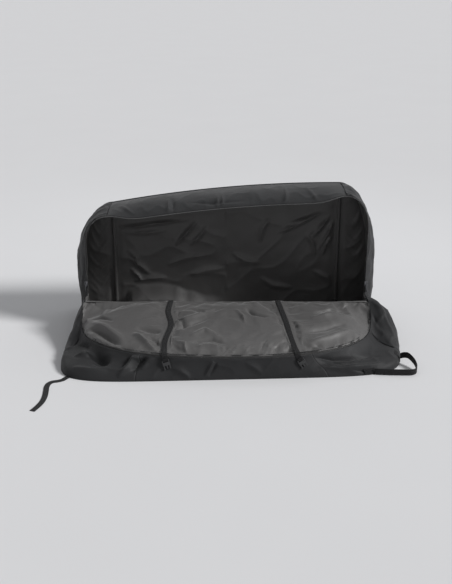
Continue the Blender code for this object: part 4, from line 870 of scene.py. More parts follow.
def cloth(name, point, layer, outside, body, node=None, relief=None, missing=None,
          loose=None, ground=None):
    """A cloth panel over the surface point(u, v), one layer thick, with its folds."""
    low, high, material = layer
    bm = new_grid(*map(steps_for, GRIDS[name]))
    if missing:
        gone = [face for face in bm.faces if missing(*(face.calc_center_median().xy + Vector((0.5, 0.5))))]
        bmesh.ops.delete(bm, geom=gone, context="FACES")
    width, length, area = cut_size(point)
    shares = [(vert.co.x + 0.5, vert.co.y + 0.5) for vert in bm.verts]
    lay_out(bm, [(u * width, v * length) for u, v in shares])
    for vert, (u, v) in zip(bm.verts, shares):
        vert.co = point(u, v)
    bm.normal_update()
    if sum(face.normal.dot(outside) * face.calc_area() for face in bm.faces) < 0:
        bmesh.ops.reverse_faces(bm, faces=bm.faces)
        bm.normal_update()
    places = [vert.co.copy() for vert in bm.verts]
    normals = [vert.normal.copy() for vert in bm.verts]
    if loose:
        slack, weight, cap, behind, fixed = loose
        pinned = [
            vert.index for vert, (u, v) in zip(bm.verts, shares)
            if min(u, 1 - u) < PINNED_U or min(v, 1 - v) < PINNED_V or fixed(vert.co)
        ]
        settle(bm, pinned, slack, weight, cap, behind)
    if relief:
        depth = sizes().fold_depth
        for vert, place, normal, (u, v) in zip(bm.verts, places, normals, shares):
            vert.co += normal * (relief(place, u, v) * depth)
            vert.co.z = max(vert.co.z, ground(vert.co) if ground else 0.0)
    bm.normal_update()
    moves = [vert.normal * low for vert in bm.verts]
    for vert, move in zip(bm.verts, moves):
        vert.co += move
    piece = add_piece(name, bm, material, body, node)
    thicken(piece, high - low, 1.0)
    return piece


def top_of(node, gap):
    """Height of a CAD node's upper side at a place, with a gap over it."""
    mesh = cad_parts[node].data
    tree = BVHTree.FromPolygons([vert.co for vert in mesh.vertices], [face.vertices for face in mesh.polygons])

    def height(place):
        hit = tree.ray_cast(Vector((place.x, place.y, 1.0)), -UP)[0]
        return hit.z + gap if hit else 0.0
    return height


def strap(name, centres, side, width, thickness, body, node):
    """Flat webbing with softly rounded edges along a route; its side is one direction or one for each point."""
    sides = [side] * len(centres) if isinstance(side, Vector) else side
    last = len(centres) - 1
    bm = new_grid(last, STRAP_COLUMNS)
    lengths = run_lengths(centres)
    shares = [(round((vert.co.x + 0.5) * last), vert.co.y) for vert in bm.verts]
    for vert, (i, across) in zip(bm.verts, shares):
        vert.co = centres[i] + sides[i] * (width * across)
    lay_out(bm, [(lengths[i], (across + 0.5) * width) for i, across in shares])
    piece = add_piece(name, bm, "webbing", body, node)
    thicken(piece, thickness, 0.0)
    soft = piece.modifiers.new("soft edges", "BEVEL")
    soft.width = thickness * STRAP_EDGE_SHARE
    soft.segments = 2
    soft.limit_method = "ANGLE"
    soft.angle_limit = math.radians(60)
    return piece


def stitches(name, body, routes):
    """Rows of stitches along routes, each given as points and the direction away from the cloth."""
    size = sizes().stitch
    stretch = Matrix.Diagonal((size, STITCH_WIDTH, STITCH_HEIGHT, 1.0))
    bm = bmesh.new()
    for points, away in routes:
        points = [Vector(point) for point in points]
        count = max(1, round(run_lengths(points)[-1] / (size * STITCH_PITCH)))
        line = smooth_route(points, count + 1)
        for a, b in zip(line, line[1:]):
            if (b - a).length < size * SHORTEST_STITCH:
                continue
            along = (b - a).normalized()
            lift = (away - along * away.dot(along)).normalized()
            turn = Matrix((along, lift.cross(along), lift)).transposed().to_4x4()
            bmesh.ops.create_cube(bm, size=1.0, matrix=Matrix.Translation((a + b) / 2) @ turn @ stretch)
    return add_piece(name, bm, "thread", body, sharp=20.0)


def sewn_row(point, relief, outside, rise, shares):
    """Places of a row of stitches on a cloth with its folds, and the direction away from it."""
    places = []
    away = Vector()
    for u, v in shares:
        place = point(u, v)
        du = point(min(1.0, u + SHARE_STEP), v) - point(max(0.0, u - SHARE_STEP), v)
        dv = point(u, min(1.0, v + SHARE_STEP)) - point(u, max(0.0, v - SHARE_STEP))
        normal = du.cross(dv).normalized()
        if normal.dot(outside) < 0:
            normal.negate()
        places.append(place + normal * (relief(place, u, v) * sizes().fold_depth + rise))
        away += normal
    return places, away.normalized()


def sewn_rows(point, relief, outside, rows, first=0.0, last=1.0, parts=24):
    """Rows of stitches along u at these shares v, cut into parts so that each knows its own direction."""
    out = []
    for v in rows:
        for k in range(parts):
            shares = [(first + (last - first) * (k + i / ROW_STEPS) / parts, v) for i in range(ROW_STEPS + 1)]
            out.append(sewn_row(point, relief, outside, SHELL + STITCH_RISE, shares))
    return out


def nearest_share(point, target, count=SEARCH_PARTS):
    """The share u, v of a surface that lies nearest to a place."""
    low_u, high_u, low_v, high_v = 0.0, 1.0, 0.0, 1.0
    best = None
    for _ in range(SEARCH_ROUNDS):
        for i in range(count + 1):
            for j in range(count + 1):
                u = low_u + (high_u - low_u) * i / count
                v = low_v + (high_v - low_v) * j / count
                gap = (point(u, v) - target).length
                if best is None or gap < best[0]:
                    best = (gap, u, v)
        reach_u, reach_v = (high_u - low_u) / count, (high_v - low_v) / count
        low_u, high_u = max(0.0, best[1] - reach_u), min(1.0, best[1] + reach_u)
        low_v, high_v = max(0.0, best[2] - reach_v), min(1.0, best[2] + reach_v)
        count = FINER_PARTS
    return best[1:]


def cord_tube(name, points, radius, material, node=None, body="tub"):
    """A round cord along points, as a mesh with its UV map in metres along it."""
    last = len(points) - 1
    bm = new_grid(last, CORD_SIDES)
    lengths = run_lengths(points)
    shares = [(round((vert.co.x + 0.5) * last), vert.co.y + 0.5) for vert in bm.verts]
    lay_out(bm, [(lengths[i], around * radius * math.tau) for i, around in shares])
    for vert, (i, around) in zip(bm.verts, shares):
        along = along_route(points, i)
        flat = Y_AXIS - along * along.y
        flat = flat.normalized() if flat.length > NEARLY_ALONG else (UP - along * along.z).normalized()
        turn = around * math.tau
        vert.co = points[i] + (flat * math.cos(turn) + along.cross(flat) * math.sin(turn)) * radius
    bmesh.ops.remove_doubles(bm, verts=bm.verts, dist=radius * CORD_MERGE)
    bmesh.ops.holes_fill(bm, edges=[edge for edge in bm.edges if edge.is_boundary], sides=0)
    bmesh.ops.recalc_face_normals(bm, faces=bm.faces)
    return add_piece(name, bm, material, body, node)


def rounded(name, node, reach, material, body, sharp_from=EDGE_ANGLE):
    """A rigid piece of the CAD, its triangles joined to whole faces and its edges rounded."""
    bm = bmesh.new()
    bm.from_mesh(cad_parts[node].data)
    bmesh.ops.remove_doubles(bm, verts=bm.verts, dist=SAME_PLACE)
    bmesh.ops.dissolve_limit(bm, angle_limit=FLAT_ANGLE, verts=bm.verts, edges=bm.edges)
    edges = [
        edge for edge in bm.edges
        if len(edge.link_faces) == 2 and edge.calc_face_angle(0.0) > sharp_from
    ]
    round_edges(bm, edges, reach, clamp=True)
    bmesh.ops.triangulate(bm, faces=[face for face in bm.faces if len(face.verts) > 4])
    return add_piece(name, bm, material, body, node)


def smooth_route(points, count):
    """Evenly spaced points on a smooth curve through the given ones."""
    knots = [Vector(point) for point in points]
    ends = [2 * knots[0] - knots[1], *knots, 2 * knots[-1] - knots[-2]]
    dense = []
    for i in range(len(knots) - 1):
        a, b, c, d = ends[i:i + 4]
        for k in range(ROUTE_PARTS):
            t = k / ROUTE_PARTS
            dense.append(
                0.5 * ((2 * b) + (c - a) * t + (2 * a - 5 * b + 4 * c - d) * t * t + (3 * b - 3 * c + d - a) * t ** 3)
            )
    dense.append(knots[-1])
    return even_points(dense, count)


def even_points(dense, count):
    lengths = run_lengths(dense)
    out = []
    j = 0
    for i in range(count):
        goal = lengths[-1] * i / (count - 1)
        while j < len(dense) - 2 and lengths[j + 1] < goal:
            j += 1
        span = lengths[j + 1] - lengths[j]
        out.append(dense[j].lerp(dense[j + 1], (goal - lengths[j]) / span if span else 0.0))
    return out


def sampled(points, share):
    """A place on evenly spaced points."""
    at = min(max(share, 0.0), 1.0) * (len(points) - 1)
    i = min(int(at), len(points) - 2)
    return points[i].lerp(points[i + 1], at - i)


# The tub's outline, seen from the front

def top_height(x):
    across = (ROD_X - x) / (2 * ROD_X)
    return TOP_RIGHT + (TOP_LEFT - TOP_RIGHT) * across + TOP_CROWN * (1 - (x / ROD_X) ** 2)


def zip_drop(x):
    near_rod = math.exp(-(((abs(x) - ROD_X) / ROD_REACH) ** 2))
    return ZIP_TOP_DROP - (ZIP_TOP_DROP - ZIP_ROD_DROP) * near_rod


def end_curves(share, side, top, straight):
    rise = top - SHOULDER_HEIGHT
    spread = HALF_LENGTH - ROD_X
    start = (FOLD_HEIGHT - SHOULDER_HEIGHT) / rise
    angle = start + (math.pi / 2 - start) * share
    if angle < 0:
        crest = Vector((side * HALF_LENGTH, 0.0, SHOULDER_HEIGHT + rise * angle))
        out = Vector((side, 0.0, 0.0))
    else:
        crest = Vector((side * (ROD_X + spread * math.cos(angle)), 0.0, SHOULDER_HEIGHT + rise * math.sin(angle)))
        out = Vector((side * math.cos(angle) / spread, 0.0, math.sin(angle) / rise)).normalized()
    if crest.z <= straight:
        return crest, Vector((side * ZIP_HALF, 0.0, crest.z)), out
    first = math.asin((straight - SHOULDER_HEIGHT) / rise)
    turn = math.pi / 2 * (angle - first) / (math.pi / 2 - first)
    edge_x = ROD_X + (ZIP_HALF - ROD_X) * math.cos(turn)
    edge_z = straight + (top - ZIP_ROD_DROP - straight) * math.sin(turn)
    return crest, Vector((side * edge_x, 0.0, edge_z)), out


def curves_right(share):
    return end_curves(share, 1.0, TOP_RIGHT, ZIP_STRAIGHT_RIGHT)


def curves_left(share):
    return end_curves(share, -1.0, TOP_LEFT, ZIP_STRAIGHT_LEFT)


def curves_top(share):
    x = ROD_X * (1 - 2 * share)
    crest = Vector((x, 0.0, top_height(x)))
    slope = (TOP_RIGHT - TOP_LEFT) / (2 * ROD_X) - 2 * TOP_CROWN * x / ROD_X ** 2
    out = Vector((-slope, 0.0, 1.0)).normalized()
    return crest, crest - out * zip_drop(x), out


def back_inset(depth_share):
    return BACK_INSET * ((depth_share - CREST_SHARE) / (1 - CREST_SHARE)) ** 2


def gusset_point(curves, share, depth_share):
    crest, edge, out = curves(share)
    if depth_share < CREST_SHARE:
        place = crest.lerp(edge, ((CREST_SHARE - depth_share) / CREST_SHARE) ** 2)
    else:
        place = crest - out * back_inset(depth_share)
    place.y = ZIP_Y + BODY_DEPTH * depth_share
    return place


def side_x(y, height_share):
    share = max(0.0, (y - ZIP_Y) / BODY_DEPTH)
    top = gusset_point(curves_right, 0.0, share).x
    return BASE_HALF + (top - BASE_HALF) * height_share


def end_point(side, u, v):
    """End panel from the base, u 0, to the rod, u 1; v 0 is its free edge, 1 the back."""
    if u > LOW_SHARE + SAME_SHARE:
        curves = curves_right if side > 0 else curves_left
        share = (u - LOW_SHARE) / (1 - LOW_SHARE)
        return gusset_point(curves, share, max(0.0, (v - FRONT_SHARE) / (1 - FRONT_SHARE)))
    y = FOLD_Y + LID_DEPTH * v / FRONT_SHARE
    if v > FRONT_SHARE:
        y = ZIP_Y + BODY_DEPTH * (v - FRONT_SHARE) / (1 - FRONT_SHARE)
    share = u / LOW_SHARE
    return Vector((side * side_x(y, share), y, BASE_TOP + (FOLD_HEIGHT - BASE_TOP) * share))


def in_front_of_zip(u, v):
    return u > LOW_SHARE and v < FRONT_SHARE


# The lid's outlines: angle 0 is at the right end of the fold, 180 at the left end

def radius(angle, half, reach, exponent):
    turn = math.radians(angle)
    return (abs(math.cos(turn) / half) ** exponent + abs(math.sin(turn) / reach) ** exponent) ** (-1 / exponent)


def hem_point(angle):
    turn = math.radians(angle)
    reach = radius(angle, HEM_HALF, HEM_REACH, HEM_POWER)
    y = OUTLINE_Y - reach * math.sin(turn)
    near = max(0.0, 1 - (OUTLINE_Y - y) / HEM_RISE_REACH)
    return Vector((reach * math.cos(turn), y, HEM_HEIGHT + (FOLD_HEIGHT - HEM_HEIGHT) * near ** 3))


def floor_point(angle, shrink=0.0):
    from_side = min(angle, 180 - angle)
    if from_side < CORNER_ANGLE:
        from_side = CORNER_ANGLE - (CORNER_ANGLE - from_side) * SPREAD_SHARE
    direction = from_side if angle < 90 else 180 - from_side
    turn = math.radians(direction)
    reach = radius(direction, FLOOR_HALF - shrink, FLOOR_REACH - shrink, FLOOR_POWER)
    x = reach * math.cos(turn) + FLOOR_SHIFT
    return Vector((x, OUTLINE_Y - reach * math.sin(turn) + FLOOR_SKEW * x / FLOOR_HALF, 0.0))


def skirt_curve(angle):
    low = floor_point(angle)
    high = hem_point(angle)
    flat = math.hypot(high.x - low.x, high.y - low.y)
    slump = min(1.0, max(0.0, (flat - SKIRT_FLAT) / (SKIRT_SLUMPED - SKIRT_FLAT)))
    ridge = low + Vector((0.0, 0.0, RIDGE_HEIGHT))
    hollow = low.lerp(high, HOLLOW_SHARE)
    hollow.z = 0.0
    return low, low.lerp(high, 1 / 3).lerp(ridge, slump), low.lerp(high, 2 / 3).lerp(hollow, slump), high


def bezier(points, share):
    a, b, c, d = points
    rest = 1 - share
    return a * rest ** 3 + b * (3 * share * rest ** 2) + c * (3 * share ** 2 * rest) + d * share ** 3


def skirt_point(angle, share):
    return bezier(skirt_curve(angle), share)


def lid_angle(share):
    from_end = min(share, 1 - share) * FLOOR_STEPS
    if from_end < FLOOR_SIDE_STEPS:
        angle = BELLOWS_START + (FRONT_START - BELLOWS_START) * from_end / FLOOR_SIDE_STEPS
    else:
        front = (from_end - FLOOR_SIDE_STEPS) / FLOOR_FRONT_STEPS
        angle = FRONT_START + (180 - 2 * FRONT_START) * front
    return angle if share <= 0.5 else 180 - angle


def foot_gap(angle):
    low = skirt_point(angle, 0.0)
    near = skirt_point(angle, 1 / SKIRT_ROWS)
    return LAYER_GAP + SHELL * math.hypot(near.x - low.x, near.y - low.y) / near.z


def lid_panel_point(u, v):
    start = Vector(((ZIP_HALF - LID_PANEL_SPACE) * (1 - 2 * u), FOLD_Y - LID_SLACK, 0.0))
    end = floor_point(lid_angle(u), foot_gap(lid_angle(u)))
    place = start.lerp(end, v)
    place.x = start.x + (end.x - start.x) * v ** (1 + LID_SPREAD_POWER * (2 * u - 1) ** 8)
    top = FOLD_HEIGHT - FOAM - LINING - SHELL - 7 * LAYER_GAP
    place.z = top * (1 - v) ** (LID_SLOPE_POWER + LID_EDGE_POWER * (2 * u - 1) ** 4)
    return place


def lid_lining_point(u, v):
    start = Vector((LID_FOLD_HALF * (1 - 2 * u), FOLD_Y - LID_SLACK, FOLD_HEIGHT))
    edge = hem_point(180 * u)
    out = Vector((edge.x, edge.y - OUTLINE_Y, 0.0)).normalized()
    end = edge - out * (SHELL + 2 * LAYER_GAP)
    place = start.lerp(end, v)
    place.z += LINING_CROWN * 4 * v * (1 - v) * (1 - (2 * u - 1) ** 2)
    return place


def lid_satin_point(u, v):
    """The same with the sag of the fold."""
    place = lid_lining_point(u, v)
    place.z -= fold_sag(place.x) * max(0.0, 1 - v / SAG_REACH) ** 2
    return place


# Folds of each cloth. They fade towards the seams, so that neighbours still meet.

def seam_fade(u, v, reach_u, reach_v, sides=(1, 1, 1, 1)):
    """1 in the middle of a panel and 0 at the seams that are named: start u, end u, start v, end v."""
    fade = 1.0
    for gap, reach, wanted in zip((u, 1 - u, v, 1 - v), (reach_u, reach_u, reach_v, reach_v), sides):
        if wanted:
            fade *= smooth_step(gap / reach)
    return fade


def stretched(place, x=1.0, y=1.0, z=1.0):
    """A place with its parts scaled, for folds that are longer one way."""
    return Vector((place.x * x, place.y * y, place.z * z))


def turned(place, around, stretch):
    """A place measured along and across a slanting direction, for creases that run along it."""
    x = place.x * math.cos(around) + place.z * math.sin(around)
    z = place.z * math.cos(around) - place.x * math.sin(around)
    return Vector((x * stretch, place.y, z))


def end_relief(side):
    def relief(place, u, v):
        high = uneven(stretched(place, y=1.5, z=0.55), END_NOISE, side) + uneven(place, END_SMALL_NOISE) - END_SINK
        return high * seam_fade(u, v, *END_FADE)
    return relief


def top_relief(place, u, v):
    high = uneven(stretched(place, y=0.5, z=0.5), TOP_NOISE) - TOP_SINK + fold_height(place, TOP_CREASES)
    return high * seam_fade(u, v, *TOP_FADE) * (TOP_FREE + (1 - TOP_FREE) * smooth_step(v / TOP_FADE[1]))


def back_lining_relief(place, u, v):
    """Towards the open side only, because the foam is behind."""
    high = uneven(turned(place, RIGHT_SLANT if place.x > 0 else LEFT_SLANT, SLANT_STRETCH), BACK_LINING_NOISE)
    high += BACK_RIPPLE * (1 + wave(place, *RIPPLE_WAVE)) + fold_height(stretched(place, y=0.0), BACK_CREASES)
    high += PUFF * smooth_step((PUFF_TOP - place.z) / PUFF_REACH) * (0.5 + wave(place, *PUFF_WAVE))
    high += slump(place.x, place.z)
    return max(0.0, high) * seam_fade(u, v, *BACK_LINING_FADE) * clear_of_sleeves(place)


def slump(x, z):
    """The lining has slipped down at the left end and stands forward in a soft ledge."""
    for (a, high_a), (b, high_b) in zip(SLUMP_LINE, SLUMP_LINE[1:]):
        if a <= x < b:
            crest = high_a + (high_b - high_a) * smooth_step((x - a) / (b - a))
            ends = smooth_step((x - SLUMP_LINE[0][0]) / SLUMP_START)
            ends *= smooth_step((SLUMP_LINE[-1][0] - x) / SLUMP_END)
            return SLUMP_DEPTH * ends * smooth_step((crest - z) / SLUMP_FALL)
    return 0.0


def clear_of_sleeves(place):
    """0 behind the rods' sleeves, 1 away from them."""
    return smooth_step((abs(abs(place.x) - ROD_X) - SLEEVE_CLEAR) / SLEEVE_FADE)


def back_shell_relief(place, u, v):
    high = uneven(place, BACK_SHELL_NOISE) + uneven(turned(place, SHELL_SLANT, SHELL_STRETCH), BACK_SHELL_CREASES)
    return high * seam_fade(u, v, *BACK_SHELL_FADE)


def lid_lining_relief(place, u, v):
    high = uneven(stretched(place, x=0.6, z=0.0), LID_LINING_NOISE) + uneven(place, LID_SMALL_NOISE) - LID_SINK
    high += fold_height(place, LID_CREASES)
    gathered = smooth_step((v - GATHER_START) / GATHER_REACH) * uneven(X_AXIS * place.x, GATHER_NOISE)
    high = high * seam_fade(u, v, *LID_FADE) + gathered * seam_fade(u, v, *GATHER_FADE)
    return high * clear_of_straps(place)


def beside_straps(x, gap, reach):
    """0 where the tie straps cross the fold, 1 away from them."""
    return min(smooth_step((abs(x - route[0][1]) - gap) / reach) for route in STRAP_ROUTES)


def fold_sag(x):
    """How far the top of the front wall and the lid's fold sag at this place."""
    dip = FOLD_DIP + uneven(X_AXIS * x, SAG_NOISE)
    return dip * smooth_step((ZIP_HALF - DIP_INSET - abs(x)) / DIP_FADE) * beside_straps(x, *DIP_CLEAR)


def clear_of_straps(place):
    """0 under the tie straps, 1 away from them."""
    share = FOLD_Y - place.y
    clear = 1.0
    for route in STRAP_ROUTES:
        for (a, x), (b, next_x) in zip(route, route[1:]):
            if a - STRAP_OVERRUN <= share <= b + STRAP_OVERRUN:
                middle = x + (next_x - x) * (share - a) / (b - a)
                clear = min(clear, smooth_step((abs(place.x - middle) - STRAP_CLEAR) / STRAP_FADE))
    return clear


def lid_shell_relief(place, u, v):
    return max(0.0, uneven(place, LID_SHELL_NOISE)) * seam_fade(u, v, *LID_SHELL_FADE)


def skirt_relief(place, u, v):
    high = uneven(stretched(place, x=0.7, y=0.7), SKIRT_NOISE) - SKIRT_SINK + fold_height(place, FRONT_CREASES)
    return high * seam_fade(u, v, *SKIRT_FADE)


def bellows_relief(place, u, v):
    high = uneven(stretched(place, z=0.5), BELLOWS_NOISE) + fold_height(place, BELLOWS_CREASES)
    return high * seam_fade(u, v, *BELLOWS_FADE)


def base_relief(place, u, v):
    high = uneven(stretched(place, x=0.6, z=0.0), BASE_NOISE)
    return high * beside_straps(place.x, *BASE_CLEAR) * seam_fade(u, v, *BASE_FADE)


# Stage

class BAG_OT_stage(bpy.types.Operator):
    """Makes the floor, the lamps and the camera"""

    bl_idname = "bag.stage"
    bl_label = "Stage"

    def execute(self, context):
        stage = context.scene.bag_stage
        bm = bmesh.new()
        bmesh.ops.create_circle(bm, cap_ends=True, segments=64, radius=FLOOR_RADIUS)
        bmesh.ops.translate(bm, verts=bm.verts, vec=UP * -FLOOR_DROP)
        mesh = bpy.data.meshes.new("studio_floor")
        bm.to_mesh(mesh)
        bm.free()
        mesh.materials.append(finish("pale_floor"))
        linked("studio_floor", mesh)
        context.scene.world = self.sky(stage.sky)

        sun = bpy.data.lights.new("key", "SUN")
        sun.energy = stage.key
        sun.angle = KEY_ANGLE
        linked("key", sun).rotation_euler = KEY_TURN

        rim = bpy.data.lights.new("rim", "AREA")
        rim.energy = stage.rim
        rim.shape = "RECTANGLE"
        rim.size, rim.size_y = RIM_SIZE
        rim.color = RIM_COLOUR
        behind = linked("rim", rim)
        behind.location = RIM_PLACE
        behind.rotation_euler = (Vector(RIM_AIM) - Vector(RIM_PLACE)).to_track_quat("-Z", "Y").to_euler()

        view = bpy.data.cameras.new("camera")
        view.lens = stage.lens
        view.sensor_width = 36.0
        view.clip_end = 120.0
        camera = linked("camera", view)
        camera.location = (0.0, -stage.distance, stage.height)
        camera.rotation_euler = (math.pi / 2 - stage.tilt, 0.0, 0.0)
        context.scene.camera = camera
        context.scene.view_settings.view_transform = "Standard"
        return {"FINISHED"}

    def sky(self, strength):
        """Even light, with a plain pale colour where the camera sees it."""
        world = bpy.data.worlds.new("studio")
        world.use_nodes = True
        tree = world.node_tree
        tree.nodes.clear()
        out, seen, light, mixed, path, first, second = (tree.nodes.new("ShaderNode" + kind) for kind in (
            "OutputWorld", "Background", "Background", "MixShader", "LightPath", "Math", "Math"
        ))
        first.operation = second.operation = "MAXIMUM"
        for start, end in (
            (path.outputs["Is Camera Ray"], first.inputs[0]), (path.outputs["Is Glossy Ray"], first.inputs[1]),
            (first.outputs[0], second.inputs[0]), (path.outputs["Is Transmission Ray"], second.inputs[1]),
            (second.outputs[0], mixed.inputs[0]), (light.outputs[0], mixed.inputs[1]),
            (seen.outputs[0], mixed.inputs[2]), (mixed.outputs[0], out.inputs[0]),
        ):
            tree.links.new(start, end)
        seen.inputs[0].default_value = SEEN_COLOUR
        light.inputs[0].default_value = SKY_COLOUR
        light.inputs[1].default_value = strength
        return world


# Haul strap, lying loose on the floor

class BAG_OT_haul_strap(bpy.types.Operator):
    """Makes the loose haul strap on the floor"""

    bl_idname = "bag.haul_strap"
    bl_label = "Haul strap"

    def execute(self, context):
        z = HAUL_LIFT + WEBBING / 2
        route = smooth_route([(x - ZIP_HALF, y, z) for x, y in HAUL_ROUTE], HAUL_POINTS)
        sides = [along_route(route, i).cross(UP).normalized() for i in range(len(route))]
        piece = strap("haul_strap_webbing", route, sides, HAUL_WIDTH, WEBBING, "haul_strap", "left_haul_strap")
        run_lengths(route)[-1]
        return {"FINISHED"}


# Tub

def outline_chain(curves, start, end, count):
    """Edge of the back panel along part of one curve."""
    points = []
    for i in range(count + 1):
        share = start + (end - start) * i / count
        place = gusset_point(curves, share, 1.0)
        points.append(Vector((place.x, 0.0, place.z)) + curves(share)[2] * SHELL)
    return points


def back_feet():
    foot = Vector((BASE_HALF + SHELL, 0.0, BASE_TOP))
    return foot, Vector((-foot.x, 0.0, foot.z))


def back_point(y):
    """A surface that fills the back panel's outline at this depth."""
    foot, left_foot = back_feet()
    across = outline_chain(curves_left, BACK_SPLIT, 1.0, 20) + outline_chain(curves_top, 0.0, 1.0, 60)[::-1]
    across += outline_chain(curves_right, BACK_SPLIT, 1.0, 20)[::-1]
    bottom, top, left, right = (even_points(points, SIDE_POINTS) for points in (
        [left_foot, foot], across, [left_foot] + outline_chain(curves_left, 0.0, BACK_SPLIT, 40),
        [foot] + outline_chain(curves_right, 0.0, BACK_SPLIT, 40),
    ))

    def point(u, v):
        corners = (
            bottom[0] * ((1 - u) * (1 - v)) + bottom[-1] * (u * (1 - v)) + top[0] * ((1 - u) * v) + top[-1] * (u * v)
        )
        place = sampled(bottom, u).lerp(sampled(top, u), v) + sampled(left, v).lerp(sampled(right, v), u) - corners
        place.y = y
        return place
    return point


def edge_line(y, grow):
    """The back panel's edge at this depth, from the right foot over the top to the left foot."""
    foot, left_foot = back_feet()
    points = [foot] + outline_chain(curves_right, 0.0, 1.0, 48) + outline_chain(curves_top, 0.0, 1.0, 80)
    points += outline_chain(curves_left, 0.0, 1.0, 48)[::-1] + [left_foot]
    out = []
    for i, place in enumerate(points):
        along = along_route(points, i)
        out.append(place + Vector((along.z, 0.0, -along.x)) * grow + Y_AXIS * y)
    return out


class BAG_OT_back(bpy.types.Operator):
    """Makes the back panel: lining, foam and outer cloth, with its piping"""

    bl_idname = "bag.back"
    bl_label = "Back panel"

    def execute(self, context):
        lining_y = BACK_FACE + LINING
        cloth("back_panel_lining", back_point(lining_y), FACING, -Y_AXIS, "tub", "back_lining", back_lining_relief,
              loose=(BACK_SLACK, BACK_WEIGHT, BACK_MOVE, lining_y, lambda place: clear_of_sleeves(place) < 0.5))
        foam_y = lining_y + LAYER_GAP
        cloth("back_panel_foam", back_point(foam_y), PAD, Y_AXIS, "tub", "back_foam")
        shell_y = foam_y + FOAM + LAYER_GAP
        cloth("back_panel_cloth", back_point(shell_y), OUTER, Y_AXIS, "tub", "back_shell", back_shell_relief)
        piping = sizes().piping
        line = even_points(edge_line(shell_y + SHELL / 2, piping * PIPING_OUT), PIPING_POINTS)
        cord_tube("back_seam_piping", line, piping, "outer_cloth")
        return {"FINISHED"}


class BAG_OT_ends_and_top(bpy.types.Operator):
    """Makes the end panels and the top gusset, each with its lining"""

    bl_idname = "bag.ends_and_top"
    bl_label = "Ends and top"

    def execute(self, context):
        def top(u, v):
            return gusset_point(curves_top, u, v)
        rows = sewn_rows(top, top_relief, UP, TOP_ROWS, parts=40)
        for prefix, side in SIDES:
            def end(u, v, side=side):
                return end_point(side, u, v)
            outside = Vector((side, *END_OUT))
            relief = end_relief(side)
            for kind, ending, layer in (("cloth", "shell", OUTER), ("satin", "lining", INNER)):
                cloth(f"{prefix}_end_{kind}", end, layer, outside, "tub", f"{prefix}_end_{ending}", relief,
                      missing=in_front_of_zip)
            rows += sewn_rows(end, relief, outside, END_FRONT_ROWS, first=LOW_SHARE + ROW_INSET, parts=20)
            rows += sewn_rows(end, relief, outside, END_BACK_ROWS, first=2 * ROW_INSET)
        cloth("top_gusset_cloth", top, OUTER, UP, "tub", "top_shell", top_relief)
        cloth("top_gusset_satin", top, INNER, UP, "tub", "top_lining", top_relief)
        stitches("tub_stitching", "tub", rows)
        return {"FINISHED"}


class BAG_OT_base(bpy.types.Operator):
    """Makes the base: outer cloth, stiff board and lining"""

    bl_idname = "bag.base"
    bl_label = "Base"

    def execute(self, context):
        def level(half, front, back, z):
            return lambda u, v: Vector((half * (2 * u - 1), front + (back - front) * v, z))
        cloth("base_cloth", level(BASE_HALF + SHELL, FOLD_Y, BACK_FACE + BACK_STACK, 0.0), OUTER, UP, "tub",
              "base_shell")
        rounded("base_stiffener", "base_board", BOARD_ROUNDING, "board", "tub")
        inside = level(BASE_HALF - BASE_SPACE, FOLD_Y + WALL_STACK + LAYER_GAP, BACK_Y - LAYER_GAP, FLOOR_TOP - LINING)
        cloth("base_satin", inside, FACING, UP, "tub", "base_lining", base_relief)
        return {"FINISHED"}


def wall_place(x_share, depth, height_share):
    low = BASE_HALF - WALL_SPACE
    high = ZIP_HALF - WALL_SPACE
    x = (low + (high - low) * height_share) * (2 * x_share - 1)
    z = BASE_TOP + (FOLD_HEIGHT - BASE_TOP) * height_share
    return Vector((x, FOLD_Y + depth, z - fold_sag(x) * height_share ** 3))


def wall_lining_point(u, v):
    """The front wall's lining: up the inside, then over the foam in a quarter turn."""
    inner = SHELL + FOAM + 2 * LAYER_GAP
    arch = inner - SHELL
    if v < WALL_RISE:
        return wall_place(u, inner, v / WALL_RISE * (1 - arch * ARCH_RISE / FOLD_HEIGHT))
    turn = math.pi / 2 * (v - WALL_RISE) / (1 - WALL_RISE)
    place = wall_place(u, inner, 1.0)
    place.z -= arch * ARCH_RISE * (1 - math.sin(turn)) + LINING + LAYER_GAP
    place.y = FOLD_Y + SHELL + arch * math.cos(turn)
    return place


def fold_line_point(u, v):
    """Narrow run of lining over the fold, from the front wall, v 0, to the lid, v 1."""
    x = (LID_FOLD_HALF - STRIP_END_SPACE) * (2 * u - 1)
    start = WALL_STACK * STRIP_START_SHARE
    y = FOLD_Y + start - (start + STRIP_REACH) * v
    inner = max(0.0, 1 - v / STRIP_BEND_SHARE)
    puff = STRIP_PUFF * (1 - abs(2 * v - 1)) * min(1.0, fold_sag(x) / STRIP_PUFF_SAG)
    return Vector((x, y, FOLD_HEIGHT - STRIP_HALF - fold_sag(x) - STRIP_DROP * inner ** 2 + puff))


class BAG_OT_front_wall(bpy.types.Operator):
    """Makes the low front wall under the fold"""

    bl_idname = "bag.front_wall"
    bl_label = "Front wall"

    def execute(self, context):
        cloth("front_wall_cloth", lambda u, v: wall_place(u, 0.0, v * WALL_SHELL_SHARE), OUTER, Y_AXIS, "tub",
              "front_wall_shell")
        pad = cloth("front_wall_pad", lambda u, v: wall_place(u, SHELL + LAYER_GAP, v * WALL_PAD_SHARE), PAD,
                    Y_AXIS, "tub", "front_wall_foam")
        cloth("front_wall_satin", wall_lining_point, FACING, Y_AXIS, "tub", "front_wall_lining")
        strip = cloth("fold_satin", fold_line_point, (-STRIP_HALF, STRIP_HALF, "lining_cloth"), UP, None)
        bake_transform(strip)
        return {"FINISHED"}


# Cloth that spreads at both ends between the tub and the lid

def on_side(side, angle):
    return angle if side > 0 else 180 - angle


